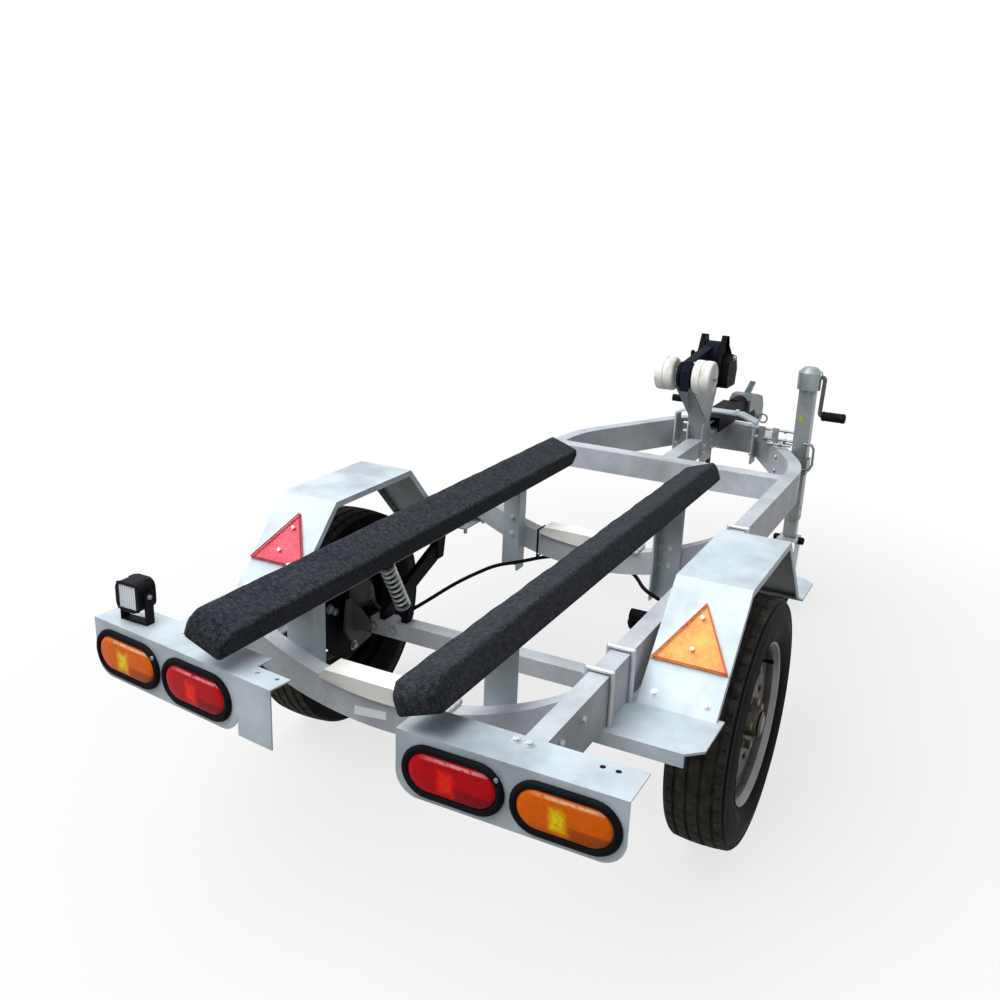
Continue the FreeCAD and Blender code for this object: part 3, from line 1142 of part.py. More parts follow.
# ---------------------------------------------------------------------------------------------------- jack
def make_jack(rail):
    x, y = "jack_x", "axle_y+jack_y"
    inner = "(jack_size-2*jack_wall)"
    outer = block("jack_outer", f"{x}-jack_size/2", f"{y}-jack_size/2", "jack_foot", "jack_size",
                  "jack_size",
                  "jack_top-jack_foot")
    hollow = block("jack_inner", f"{x}-{inner}/2", f"{y}-{inner}/2", "jack_foot-1", inner, inner,
                   "jack_top-jack_foot-20")
    node("jack_tube", cut("jack_shell", outer, hollow))
    drum = rod("gear_drum", "Z", x, y, "jack_top", "head_box/2", "head_tall-head_bevel")
    dome = doc.addObject("Part::Cone", "gear_dome")
    bind(dome, "Radius1", "head_box/2")
    bind(dome, "Radius2", "head_box/2-head_bevel")
    bind(dome, "Height", "head_bevel")
    place(dome, x, y, "jack_top+head_tall-head_bevel")
    nose = rod("gear_nose", "X", x, y, "jack_top+head_tall-26", "16", "head_box/2")
    node("jack_gear_head", fuse("gear_head", drum, dome, nose))
    pivot_z = "(jack_top+head_tall-26)"
    stub = rod("crank_stub", "X", f"{x}+head_box/2", y, pivot_z, "8", "8")
    arm = block("crank_arm", f"{x}+head_box/2+8", f"{y}-9", f"{pivot_z}-crank_drop", "6", "18",
                "crank_drop+8")
    node("jack_crank", fuse("crank", stub, arm))
    node("jack_crank_grip", rod("grip", "X", f"{x}+head_box/2+14", y, f"{pivot_z}-crank_drop+10",
                                "grip_radius",
                                "grip_length"))
    half = "(jack_size/2)"
    bend_out = f"({BEND_X}+bend_radius*cos(bend_angle))"
    bend_end = "(bend_start+bend_radius*sin(bend_angle))"
    clamp = []
    for level, on_hoop in (
        ("jack_y-49", True), (f"jack_y-{half}", False), (f"jack_y+{half}", False), ("jack_y+49", True),
    ):
        hoop_x = f"({bend_out}-(({level})-{bend_end})*tan(bend_angle))"
        clamp.append((hoop_x if on_hoop else f"jack_x-{half}", level))
    wedge = pad("jack_wedge", "XY", [clamp], "rail_height*0.7",
                at=("0", "axle_y", "rail_top-rail_height/2"))
    collar = []
    for name, size, extra in (("collar_out", "(jack_size+2*collar_wall)", "0"),
                              ("collar_in", "jack_size", "2")):
        collar.append(block(name, f"{x}-{size}/2", f"{y}-{size}/2",
                            f"rail_top-rail_height/2-collar_height/2-{extra}/2",
                            size, size, f"collar_height+{extra}"))
    node("jack_clamp", cut("jack_collar", fuse("jack_holder", wedge, collar[0]), collar[1], rail))

    leg = f"({inner}-2*leg_gap)"
    crown = "(fork_crown+fork_wall)"
    node("jack_leg", block("leg_tube", f"{x}-{leg}/2", f"{y}-{leg}/2", f"{crown}+6", leg, leg,
                           f"jack_top-100-{crown}-6"))
    reach = "(jockey_width/2+fork_gap)"
    top_plate = block("fork_top", f"{x}-{reach}-fork_wall", f"{y}-jockey_trail-24", "fork_crown",
                      f"2*({reach}+fork_wall)", "jockey_trail+56", "fork_wall")
    cheek = [
        ("-jockey_trail-16", "jockey_radius-16"), ("-jockey_trail+16", "jockey_radius-16"),
        ("30", "fork_crown"), ("-jockey_trail-22", "fork_crown"),
    ]
    right = pad("fork_cheek", "YZ", [cheek], "fork_wall", at=(f"{x}+{reach}+fork_wall/2", y, "0"))
    left = pad("fork_cheek_left", "YZ", [cheek], "fork_wall", at=(f"{x}-{reach}-fork_wall/2", y, "0"))
    pin_rod = rod("fork_pin", "X", f"{x}-{reach}-fork_wall", f"{y}-jockey_trail", "jockey_radius",
                  "jockey_pin",
                  f"2*({reach}+fork_wall)")
    neck = rod("fork_neck", "Z", x, y, crown, "14", "5.7")
    node("jack_fork", fuse("fork", top_plate, right, left, pin_rod, neck))
    bore = "(jockey_pin+shaft_gap)"
    half_wide = "(jockey_width/2)"
    tyre = [
        (f"-{half_wide}+6", bore), (f"{half_wide}-6", bore), (f"{half_wide}-6", "jockey_radius*0.6"),
        (half_wide, "jockey_radius*0.66"), (half_wide, "jockey_radius-10"),
        (f"{half_wide}-8", "jockey_radius"),
        (f"-{half_wide}+8", "jockey_radius"), (f"-{half_wide}", "jockey_radius-10"),
        (f"-{half_wide}", "jockey_radius*0.66"), (f"-{half_wide}+6", "jockey_radius*0.6"),
    ]
    node("jockey_wheel", spin("jockey_ring", [tyre], (x, f"{y}-jockey_trail", "jockey_radius")))


# ---------------------------------------------------------------------------------------- build and export
rail_solid = make_rails()
make_front_cross(rail_solid)
make_keel()
make_bows()
make_bunks()
make_brackets()
make_fenders()
make_fender_feet()
make_u_bolts()
make_reflectors()
make_lamps()
make_work_lamp()
make_wheel()
make_axle()
make_arms()
make_dampers()
make_brakes()
make_winch_post()
make_winch()
make_coupling()
make_jack(rail_solid)
doc.recompute()

for item in doc.Objects:
    if "Invalid" in item.State or "Error" in item.State:
        raise RuntimeError(f"{item.Label}: {item.State}")
for item in NODES:
    if item.Shape.isNull() or not item.Shape.isValid():
        raise RuntimeError(f"{item.Label}: bad shape")

os.makedirs("parts", exist_ok=True)
for item in NODES:
    item.Shape.exportStep(f"parts/{item.Label}.step")
whole = Part.makeCompound([item.Shape for item in NODES]).BoundBox
print(len(NODES), "sub-parts")
print("box", [round(v, 2) for v in (whole.XMin, whole.XMax, whole.YMin, whole.YMax, whole.ZMin,
                                    whole.ZMax)])
for item in NODES:
    print(f"{item.Label}: {len(item.Shape.Solids)} solid(s), {item.Shape.Volume / 1000:.1f} cm3")
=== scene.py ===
"""Looks for the boat trailer: materials, carpet, tyres, lamps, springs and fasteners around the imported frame.

Metres, +X to the trailer's right, +Y forward, +Z up.  Most places are worked out from the boxes of the
frame's nodes; the sizes of trim and fasteners, and a few places on the trailer, are written here.
"""
import json
import math

import bmesh
import bpy
from mathutils import Matrix, Vector


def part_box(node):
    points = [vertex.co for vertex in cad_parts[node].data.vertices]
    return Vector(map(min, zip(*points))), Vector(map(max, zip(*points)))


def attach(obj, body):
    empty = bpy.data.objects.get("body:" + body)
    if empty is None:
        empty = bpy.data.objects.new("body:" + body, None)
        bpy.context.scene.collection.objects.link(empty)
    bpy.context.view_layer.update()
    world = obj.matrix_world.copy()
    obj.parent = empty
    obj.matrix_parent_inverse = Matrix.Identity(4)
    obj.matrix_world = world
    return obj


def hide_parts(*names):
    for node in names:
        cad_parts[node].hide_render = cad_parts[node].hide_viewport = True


X, Y, Z = Vector((1, 0, 0)), Vector((0, 1, 0)), Vector((0, 0, 1))
SIDES = {"right": 1, "left": -1}

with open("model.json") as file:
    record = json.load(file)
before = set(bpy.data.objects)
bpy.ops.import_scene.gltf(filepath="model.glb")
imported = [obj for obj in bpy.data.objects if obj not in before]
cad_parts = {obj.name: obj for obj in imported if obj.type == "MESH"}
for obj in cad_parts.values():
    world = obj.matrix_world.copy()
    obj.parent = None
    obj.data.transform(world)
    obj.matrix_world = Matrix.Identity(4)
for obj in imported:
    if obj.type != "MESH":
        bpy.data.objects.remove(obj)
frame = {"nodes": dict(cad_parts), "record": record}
bpy.context.scene.view_settings.view_transform = "Standard"
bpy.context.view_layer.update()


def size_of(node):
    """The low corner, the high corner and the middle of a node's box."""
    low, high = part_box(node)
    return low, high, (low + high) / 2


# ---------------------------------------------------------------- materials
class Tree:
    """A node tree under construction, with helpers that add a node and return its output."""

    def __init__(self, owner):
        owner.use_nodes = True
        self.nodes = owner.node_tree.nodes
        self.links = owner.node_tree.links

    def feed(self, socket, value):
        """Links another node's output to a socket, or gives it a number, a vector or an (r, g, b) colour."""
        if isinstance(value, bpy.types.NodeSocket):
            self.links.new(value, socket)
        elif isinstance(value, tuple) and len(socket.default_value) == 4:
            socket.default_value = (*value, 1)
        else:
            socket.default_value = value

    def add(self, kind, output, inputs, **settings):
        node = self.nodes.new("ShaderNode" + kind)
        for name, value in settings.items():
            setattr(node, name, value)
        for socket, value in inputs.items():
            self.feed(node.inputs[socket], value)
        return node.outputs[output]

    def ramp(self, factor, *stops):
        """A colour from a factor: stops are (position, (r, g, b))."""
        node = self.nodes.new("ShaderNodeValToRGB")
        ramp = node.color_ramp
        while len(ramp.elements) < len(stops):
            ramp.elements.new(0.5)
        for element, (position, colour) in zip(ramp.elements, stops):
            element.position = position
            element.color = (*colour, 1)
        self.feed(node.inputs["Fac"], factor)
        return node.outputs["Color"]

    def level(self, factor, low, high, start=0.0, stop=1.0):
        """A number from a factor."""
        inputs = {"From Min": start, "From Max": stop, "To Min": low, "To Max": high, "Value": factor}
        return self.add("MapRange", "Result", inputs)

    def maths(self, operation, first, second=0.0):
        return self.add("Math", 0, {0: first, 1: second}, operation=operation)

    def part(self, vector, axis):
        return self.add("SeparateXYZ", axis, {0: vector})

    def seen_directly(self):
        """1 for rays that reach the camera straight, by reflection or through glass, else 0."""
        path = self.nodes.new("ShaderNodeLightPath").outputs
        seen = path["Is Camera Ray"]
        for ray in ("Is Glossy Ray", "Is Transmission Ray"):
            seen = self.maths("MAXIMUM", seen, path[ray])
        return seen


class Finish(Tree):
    """A node material under construction: one shader, with helpers that feed its sockets."""

    def __init__(self, name, roughness=0.5, metallic=0.0, **sockets):
        self.material = bpy.data.materials.new(name)
        super().__init__(self.material)
        self.shader = self.nodes["Principled BSDF"]
        coordinates = self.nodes.new("ShaderNodeTexCoord").outputs
        self.place = coordinates["Object"]
        self.facing = coordinates["Normal"]
        for socket, value in {"Roughness": roughness, "Metallic": metallic, **sockets}.items():
            self.shader.inputs[socket.replace("_", " ")].default_value = value

    def noise(self, scale, detail=4.0, stretch=None):
        place = self.place
        if stretch:
            place = self.add("Mapping", "Vector", {"Scale": stretch, "Vector": place})
        return self.add("TexNoise", "Fac", {"Scale": scale, "Detail": detail, "Vector": place})

    def cells(self, scale, output="Distance"):
        return self.add("TexVoronoi", output, {"Scale": scale, "Vector": self.place})

    def stripes(self, scale, direction="X", distortion=0.0):
        inputs = {"Scale": scale, "Distortion": distortion, "Vector": self.place}
        return self.add("TexWave", "Fac", inputs, bands_direction=direction)

    def mix(self, factor, first, second, blend="MIX"):
        return self.add("Mix", 2, {0: factor, 6: first, 7: second}, data_type="RGBA", blend_type=blend)

    def away(self, centre, scale=(1, 1, 1)):
        """Distance from a place, in metres times the scale."""
        offset = self.add("VectorMath", 0, {0: self.place, 1: centre}, operation="SUBTRACT")
        sized = self.add("VectorMath", 0, {0: offset, 1: scale}, operation="MULTIPLY")
        return self.add("VectorMath", "Value", {0: sized}, operation="LENGTH")

    def from_box(self, centre, half_x, half_z):
        """0 at a place, 1 on the edge of a rectangle round it in X and Z."""
        reach = []
        for axis, middle, half in (("X", centre[0], half_x), ("Z", centre[2], half_z)):
            away = self.maths("ABSOLUTE", self.maths("SUBTRACT", self.part(self.place, axis), middle))
            reach.append(self.maths("DIVIDE", away, half))
        return self.maths("MAXIMUM", *reach)

    def painted_shade_below(self, colour, shade_depth):
        """The colour, darkened as painted shade where the surface faces down."""
        darkness = self.level(self.part(self.facing, "Z"), shade_depth, 1.0, -0.6, -0.1)
        return self.mix(1.0, colour, darkness, "MULTIPLY")

    def colour(self, output):
        self.feed(self.shader.inputs["Base Color"], output)

    def rough(self, output):
        self.feed(self.shader.inputs["Roughness"], output)

    def bump(self, height, depth, strength=1.0):
        """Adds a relief on top of those the shader already has."""
        normal = self.shader.inputs["Normal"]
        inputs = {"Distance": depth, "Strength": strength, "Height": height}
        if normal.is_linked:
            inputs["Normal"] = normal.links[0].from_socket
        self.feed(normal, self.add("Bump", "Normal", inputs))


def shade(colour, factor):
    return tuple(min(1.0, channel * factor) for channel in colour)


def metal_finish(name, colour, roughness, metallic, spangle=90, contrast=0.12, stain=0.8):
    """Zinc-coated steel: crystals of slightly different greys, broad cloudy stains, a fine grain and painted
    shade on faces that point down.
    """
    finish = Finish(name, roughness, metallic, Specular_IOR_Level=0.25)
    crystals = finish.cells(spangle, "Color")
    streaks = finish.noise(9, 6, (1, 1, 0.3))
    clouds = ((0.34, shade(colour, stain)), (0.52, colour), (0.72, shade(colour, 1.14)))
    base = finish.ramp(finish.noise(7, 5), *clouds)
    grey = finish.ramp(crystals, (0.0, shade((1, 1, 1), 1 - contrast)), (1.0, (1, 1, 1)))
    dull = finish.ramp(streaks, (0.58, (1, 1, 1)), (0.78, (0.86, 0.84, 0.80)))
    mottled = finish.mix(1.0, finish.mix(1.0, base, grey, "MULTIPLY"), dull, "MULTIPLY")
    # Painted shade: faces that point down are darker.
    finish.colour(finish.painted_shade_below(mottled, 0.30))
    finish.rough(finish.level(finish.noise(40), roughness - 0.1, roughness + 0.12))
    finish.bump(finish.noise(260, 2), 0.0004, 0.5)
    return finish


def paint_finish(name, colour, roughness, dust, gloss=0.3):
    """Satin paint or moulded plastic with a little pale dust and an orange-peel surface."""
    finish = Finish(name, roughness, 0.0, Specular_IOR_Level=gloss)
    dusty = tuple(channel * (1 - dust) + 0.35 * dust for channel in colour)
    finish.colour(finish.ramp(finish.noise(14, 6), (0.35, colour), (0.75, dusty)))
    finish.rough(finish.level(finish.noise(30), roughness - 0.08, roughness + 0.15))
    finish.bump(finish.noise(320, 2), 0.0003, 0.4)
    return finish


def stained_finish(name, roughness, gloss, stain, stops, grain, relief):
    """Rubber or plastic coloured by stains, over a grain that stands up in relief."""
    finish = Finish(name, roughness, 0.0, Specular_IOR_Level=gloss)
    finish.colour(finish.ramp(finish.noise(*stain), *stops))
    finish.bump(finish.noise(*grain), *relief)
    return finish


LENS_HALF = 0.0805
BOARD_TURN = Matrix.Rotation(math.radians(-7), 3, "Z")
BOARD_SHIFT = Vector((0.022, 0.027, 0))


def on_board(side, point):
    """A place on the right lamp board, or its mirror image on the left one, which hangs askew."""
    if side == "right":
        return Vector(point)
    low, _, middle = size_of("lamp_board_right")
    pivot = Vector((-middle.x, low.y, 0))
    return pivot + BOARD_SHIFT + BOARD_TURN @ (Vector((-point[0], point[1], point[2])) - pivot)


def lamp_places():
    """Each lamp's lens colour, its side, and its middle on the right board's rear face."""
    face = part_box("lamp_board_right")[0].y
    for colour in ("red", "amber"):
        _, high, middle = size_of(f"lamp_lenses_{colour}")
        for side in SIDES:
            yield colour, side, Vector((high.x - LENS_HALF, face, middle.z))


def lens_finish(colour, deep, bright, highlight_core_colour, edge):
    """A signal lens: a duller lower right, a painted highlight of the reflector as a bright square, and a
    painted highlight along the top bevel.
    """
    name = f"{colour}_lens"
    finish = Finish(name, 0.22, 0.0, Specular_IOR_Level=0.08, Coat_Weight=0.03, Coat_Roughness=0.04)
    ripple = finish.noise(150, 3)
    ragged = finish.level(finish.noise(75, 2), -0.25, 0.25, 0.25, 0.75)
    base = finish.ramp(ripple, (0.3, shade(deep, 0.85)), (0.7, deep))
    for lens, side, place in lamp_places():
        if lens != colour:
            continue
        centre = on_board(side, place)
        lower_right = finish.from_box(centre + X * 0.046 - Z * 0.021, 0.036, 0.010)
        dull = finish.level(lower_right, 0.85, 0.0, 0.8, 1.25)
        # Painted highlight: the reflector's bright square, with a hotter middle.
        highlight_spot = centre - X * 0.009 - Z * 0.006
        highlight_halo = finish.maths("ADD", finish.from_box(highlight_spot, 0.017, 0.022), ragged)
        highlight_core = finish.maths("ADD", finish.from_box(highlight_spot, 0.012, 0.017), ragged)
        highlight_halo = finish.level(highlight_halo, 1.0, 0.0, 0.7, 1.1)
        highlight_core = finish.level(highlight_core, 1.0, 0.0, 0.6, 1.1)
        base = finish.mix(dull, base, shade(deep, 0.42))
        base = finish.mix(highlight_halo, base, bright)
        base = finish.mix(highlight_core, base, finish.ramp(ripple, (0.34, bright), (0.50, highlight_core_colour)))
        # Painted highlight along the top bevel, in the edge colour.
        bevel = finish.from_box(centre + Z * 0.0290 + X * 0.012, 0.056, 0.0028)
        high = finish.level(bevel, 0.85, 0.0, 0.5, 1.3)
        base = finish.mix(high, base, finish.ramp(finish.noise(120, 4), (0.34, deep), (0.46, edge)))
    finish.colour(base)
    finish.bump(finish.stripes(42), 0.0004, 0.3)
    finish.bump(ripple, 0.0005, 0.3)
    return finish


def carpet_finish():
    """Charcoal needle-punched carpet: short matted fibres with paler flecks."""
    finish = Finish("carpet", 0.97, 0.0, Specular_IOR_Level=0.12, Sheen_Weight=0.05, Sheen_Roughness=0.6)
    flecks = finish.noise(560, 3)
    dark, mid, pale = (0.006, 0.0066, 0.009), (0.016, 0.0175, 0.022), (0.055, 0.060, 0.070)
    base = finish.ramp(flecks, (0.38, dark), (0.52, mid), (0.70, pale))
    worn = finish.ramp(finish.noise(16, 4), (0.3, (0.75, 0.76, 0.80)), (0.7, (1.15, 1.15, 1.15)))
    matted = finish.level(finish.noise(110, 3), 0.45, 1.75, 0.36, 0.64)
    finish.colour(finish.mix(1.0, finish.mix(1.0, base, worn, "MULTIPLY"), matted, "MULTIPLY"))
    finish.bump(flecks, 0.0016, 0.9)
    finish.bump(finish.noise(180, 2), 0.0012, 0.4)
    return finish


def webbing_finish():
    """Navy woven webbing with cross ribs."""
    finish = Finish("navy_web", 0.8, 0.0, Specular_IOR_Level=0.1, Sheen_Weight=0.04)
    ribs = finish.stripes(220, "Y", 0.5)
    finish.colour(finish.ramp(ribs, (0.2, (0.002, 0.0025, 0.007)), (0.8, (0.006, 0.008, 0.022))))
    finish.bump(ribs, 0.0008, 0.7)
    return finish


def prism_finish(name, deep, bright):
    """A moulded prism reflector, mottled by its cells."""
    finish = Finish(name, 0.3, 0.0, Specular_IOR_Level=0.3, Coat_Weight=0.15, Coat_Roughness=0.05)
    base = finish.ramp(finish.noise(26, 5), (0.35, deep), (0.65, bright))
    cells = finish.ramp(finish.cells(210, "Color"), (0.2, shade(deep, 0.7)), (0.9, bright))
    finish.colour(finish.mix(0.35, base, cells))
    finish.bump(finish.cells(210), 0.0008, 0.5)
    return finish


def glass_finish():
    """The work lamp's clear front, moulded in narrow prisms."""
    finish = Finish("clear_lens", 0.08, 0.0, IOR=1.45, Coat_Weight=1.0, Coat_Roughness=0.02)
    prisms = finish.stripes(60)
    finish.colour(finish.ramp(prisms, (0.2, (0.50, 0.53, 0.56)), (0.8, (0.80, 0.83, 0.86))))
    finish.bump(prisms, 0.001, 0.5)
    return finish


# Colour, roughness, metallic, crystals per metre, their contrast, shade of the stains.
METALS = {
    "galvanised": ((0.52, 0.535, 0.56), 0.46, 0.10),
    "galvanised_sheet": ((0.50, 0.555, 0.585), 0.42, 0.14, 60, 0.07, 0.72),
    "zinc": ((0.33, 0.36, 0.36), 0.34, 0.55, 160, 0.1, 0.6),
    "silver_paint": ((0.34, 0.34, 0.35), 0.42, 0.35, 300, 0.06, 0.7),
    "bright_zinc": ((0.66, 0.68, 0.68), 0.34, 0.25, 160, 0.1, 0.8),
    "dull_zinc": ((0.13, 0.165, 0.17), 0.34, 0.5, 110, 0.35, 0.35),
    "worn_disc": ((0.115, 0.105, 0.095), 0.5, 0.2, 120, 0.3, 0.45),
    "worn_bolts": ((0.24, 0.21, 0.155), 0.45, 0.25, 160, 0.2, 0.5),
}
# Colour, roughness, dust, gloss.
PAINTS = {
    "black_paint": ((0.0035, 0.0033, 0.005), 0.55, 0.012, 0.05),
    "black_plastic": ((0.004, 0.004, 0.006), 0.50, 0.012, 0.08),
    "black_rubber": ((0.004, 0.004, 0.006), 0.70, 0.012, 0.06),
    "cast_iron": ((0.085, 0.090, 0.078), 0.55, 0.20, 0.2),
    "label": ((0.93, 0.94, 0.96), 0.35, 0.02),
    "sticker": ((0.42, 0.40, 0.03), 0.35, 0.05),
    "orange_rim": ((0.68, 0.050, 0.025), 0.25, 0.02),
    "red_rim": ((0.30, 0.004, 0.012), 0.25, 0.02),
}
# Roughness, gloss, noise of the stains, their colours, noise of the grain, its depth and strength.
STAINED = {
    "cream_plastic": (0.55, 0.5, (30, 6, (0.3, 3, 1)),
                      ((0.3, (0.62, 0.58, 0.50)), (0.5, (0.82, 0.79, 0.72)), (0.7, (0.88, 0.86, 0.80))),
                      (30, 6, (0.3, 3, 1)), (0.0015, 0.6)),
    "tyre": (0.70, 0.04, (22, 6),
             ((0.3, (0.004, 0.004, 0.004)), (0.6, (0.007, 0.0068, 0.0066)), (0.8, (0.020, 0.018, 0.015))),
             (240, 3), (0.0006, 0.5)),
    "tread": (0.85, 0.15, (38, 7),
              ((0.3, (0.024, 0.022, 0.018)), (0.55, (0.065, 0.058, 0.048)), (0.75, (0.115, 0.100, 0.080))),
              (300, 3), (0.0006, 0.6)),
    "white_rubber": (0.5, 0.5, (18, 5),
                     ((0.32, (0.55, 0.50, 0.42)), (0.46, (0.80, 0.78, 0.72)), (0.7, (0.86, 0.85, 0.80))),
                     (160, 2), (0.0004, 0.4)),
}
FINISHES = {
    "carpet": carpet_finish(),
    "navy_web": webbing_finish(),
    "orange_reflector": prism_finish("orange_reflector", (0.78, 0.20, 0.008), (0.90, 0.46, 0.04)),
    "red_reflector": prism_finish("red_reflector", (0.55, 0.010, 0.030), (0.72, 0.06, 0.10)),
    "clear_lens": glass_finish(),
    # Each lens: its deep colour, the bright and hot colours of its painted highlight, and the colour of the top
    # bevel's painted highlight.
    "red_lens": lens_finish(
        "red", (0.60, 0.0002, 0.006), (0.92, 0.004, 0.006), (1.0, 0.030, 0.006), (0.90, 0.34, 0.36)
    ),
    "amber_lens": lens_finish(
        "amber", (0.92, 0.15, 0.0003), (0.96, 0.36, 0.001), (1.0, 0.78, 0.004), (0.96, 0.62, 0.36)
    ),
}
for make, table in ((metal_finish, METALS), (paint_finish, PAINTS), (stained_finish, STAINED)):
    FINISHES.update({name: make(name, *values) for name, values in table.items()})
FINISHES["tyre"].rough(FINISHES["tyre"].level(FINISHES["tyre"].noise(22, 6), 0.5, 0.8))
MATERIALS = {slot: finish.material for slot, finish in FINISHES.items()}

SHEET_NODES = ("fender_right", "fender_left", "lamp_board_right", "lamp_board_left", "fender_feet",
               "number_plate_bracket", "bunk_brackets", "coupling_arch")
OTHER_FINISHES = {
    "coupling_housing": "black_paint", "winch_handle": "black_paint", "brake_rod": "black_paint",
    "coupling_head": "dull_zinc", "coupling_lever": "dull_zinc", "u_bolts": "bright_zinc",
    "jack_fork": "bright_zinc", "dampers": "black_paint",
    **{node: "galvanised_sheet" for node in SHEET_NODES},
}


def dress_cad_nodes():
    """Each CAD node that stays in sight gets its own finish, or that of its slot in the record."""
    slots = {part["node"]: part["material_slot"] for part in frame["record"]["subparts"]}
    for node, item in frame["nodes"].items():
        item.data.materials.clear()
        item.data.materials.append(MATERIALS[OTHER_FINISHES.get(node, slots[node])])


def circle(out, up, steps, offset=0.0):
    """Unit vectors round a full turn, from out towards up, offset by a share of a step."""
    angles = [2 * math.pi * (k + offset) / steps for k in range(steps)]
    return [out * math.cos(a) + up * math.sin(a) for a in angles]


def circle_about(axis, steps):
    out = axis.orthogonal().normalized()
    return circle(out, axis.cross(out), steps)


def stadium(half, radius, steps=14):
    """A stadium's outline as (across, up) pairs."""
    angles = [math.radians(-90 + 180 * k / steps) for k in range(steps + 1)]
    right = [(half + radius * math.cos(a), radius * math.sin(a)) for a in angles]
    return right + [(-across, -up) for across, up in right]


class Shape:
    """A mesh piece under construction, in the trailer's own frame."""

    def __init__(self):
        self.mesh = bmesh.new()

    def ring(self, points):
        return [self.mesh.verts.new(point) for point in points]

    def face(self, verts):
        if len(set(verts)) > 2:
            self.mesh.faces.new(verts)

    def skin(self, rings, around=True, along=False):
        """Faces between rings of equal length; around closes each ring, along joins the last to the first."""
        pairs = list(zip(rings, rings[1:])) + ([(rings[-1], rings[0])] if along else [])
        for first, second in pairs:
            count = len(first)
            for k in range(count if around else count - 1):
                n = (k + 1) % count
                self.face((first[k], first[n], second[n], second[k]))
        return self

    def solid(self, rings):
        """A skin over rings, closed at the first and the last."""
        self.skin(rings)
        self.face(rings[0])
        self.face(rings[-1])
        return self

    def strip(self, rows):
        """A folded strip: open rows joined into a closed section, with a face at each end."""
        self.skin(rows, around=False, along=True)
        for end in (0, -1):
            self.face([row[end] for row in rows])

    def lathe(self, centre, axis, profile, steps=48):
        """Turns (along, radius) pairs round an axis and closes both ends."""
        ways = circle_about(axis, steps)
        return self.solid([
            self.ring([centre + axis * along + way * max(radius, 1e-5) for way in ways])
            for along, radius in profile
        ])

    def loop_lathe(self, centre, axis, profile, steps=48):
        """Turns a closed (along, radius) profile round an axis, as for a tyre or a washer."""
        return self.skin([
            self.ring([centre + axis * along + way * radius for along, radius in profile])
            for way in circle_about(axis, steps)
        ], along=True)

    def tube(self, points, radius, sides=10):
        """A round bar along a line of points."""
        points = [Vector(point) for point in points]
        ways = [(b - a).normalized() for a, b in zip(points, points[1:])]
        ways = [ways[0]] + [(a + b).normalized() for a, b in zip(ways, ways[1:])] + [ways[-1]]
        out = ways[0].orthogonal().normalized()
        rings = []
        for point, way in zip(points, ways):
            out = (out - way * out.dot(way)).normalized()
            ways_out = circle(out, way.cross(out), sides)
            rings.append(self.ring([point + turned * radius for turned in ways_out]))
        return self.solid(rings)

    def prism(self, outline, way):
        return self.solid([self.ring(outline), self.ring([Vector(point) + way for point in outline])])

    def box(self, low, high, bevel):
        box = bmesh.ops.create_cube(self.mesh, size=1.0)
        low, high = Vector(low), Vector(high)
        size = high - low
        for vert in box["verts"]:
            vert.co = (low + high) / 2 + Vector([vert.co[k] * size[k] for k in range(3)])
        edges = {edge for vert in box["verts"] for edge in vert.link_edges}
        bmesh.ops.bevel(self.mesh, geom=list(edges), offset=bevel, segments=2, affect="EDGES", profile=0.6)

    def bolt(self, place, axis, radius, washer=1.35):
        """A hexagon head on a washer, standing on a surface."""
        place = Vector(place)
        self.lathe(place, axis, [(0, radius * washer), (radius * 0.18, radius * washer)], 20)
        head = [(radius * 0.18, radius), (radius * 0.85, radius), (radius * 0.98, radius * 0.82)]
        self.lathe(place, axis, head, 6)

    def done(self, name, slot, body, replaces=(), smooth=35.0, bevel=0.0):
        """Makes the object, with sharp edges above the smooth angle, and gives it to the frame."""
        bmesh.ops.remove_doubles(self.mesh, verts=self.mesh.verts, dist=1e-6)
        bmesh.ops.recalc_face_normals(self.mesh, faces=self.mesh.faces)
        limit = math.radians(smooth)
        for face in self.mesh.faces:
            face.smooth = True
        for edge in self.mesh.edges:
            edge.smooth = len(edge.link_faces) == 2 and edge.calc_face_angle(0.0) < limit
        data = bpy.data.meshes.new(name)
        self.mesh.to_mesh(data)
        self.mesh.free()
        item = bpy.data.objects.new(name, data)
        bpy.context.scene.collection.objects.link(item)
        data.materials.append(MATERIALS[slot])
        if bevel:
            modifier = item.modifiers.new("edges", "BEVEL")
            modifier.width = bevel
            modifier.segments = 2
            modifier.limit_method = "ANGLE"
        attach(item, body)
        if replaces:
            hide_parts(*replaces)
        return item


# -------------------------------------------------------------------- bunks
BUNK_TILT = math.radians(20.5)
BUNK_WIDTH = 0.090
BUNK_HEIGHT = 0.058
BUNK_BEVEL = 0.022
BUNK_ROUND = 0.008
BUNK_STATIONS = 150


def bunk_section(width, low, high, round_off, steps=5):
    """A rounded rectangle as (across, up) pairs, its straight sides divided so that they can wave."""
    half = width / 2
    corners = ((half, low, -90), (half, high, 0), (-half, high, 90), (-half, low, 180))
    points = []
    for across, up, start in corners:
        cx = across - math.copysign(round_off, across)
        cy = up - math.copysign(round_off, up - (low + high) / 2)
        for k in range(steps + 1):
            a = math.radians(start + 90 * k / steps)
            points.append((cx + round_off * math.cos(a), cy + round_off * math.sin(a)))
    dense = []
    for n, ((ax, ay), (bx, by)) in enumerate(zip(points, points[1:] + points[:1])):
        parts = 12 if n % (steps + 1) == steps else 1
        dense += [(ax + (bx - ax) * k / parts, ay + (by - ay) * k / parts) for k in range(parts)]
    return dense


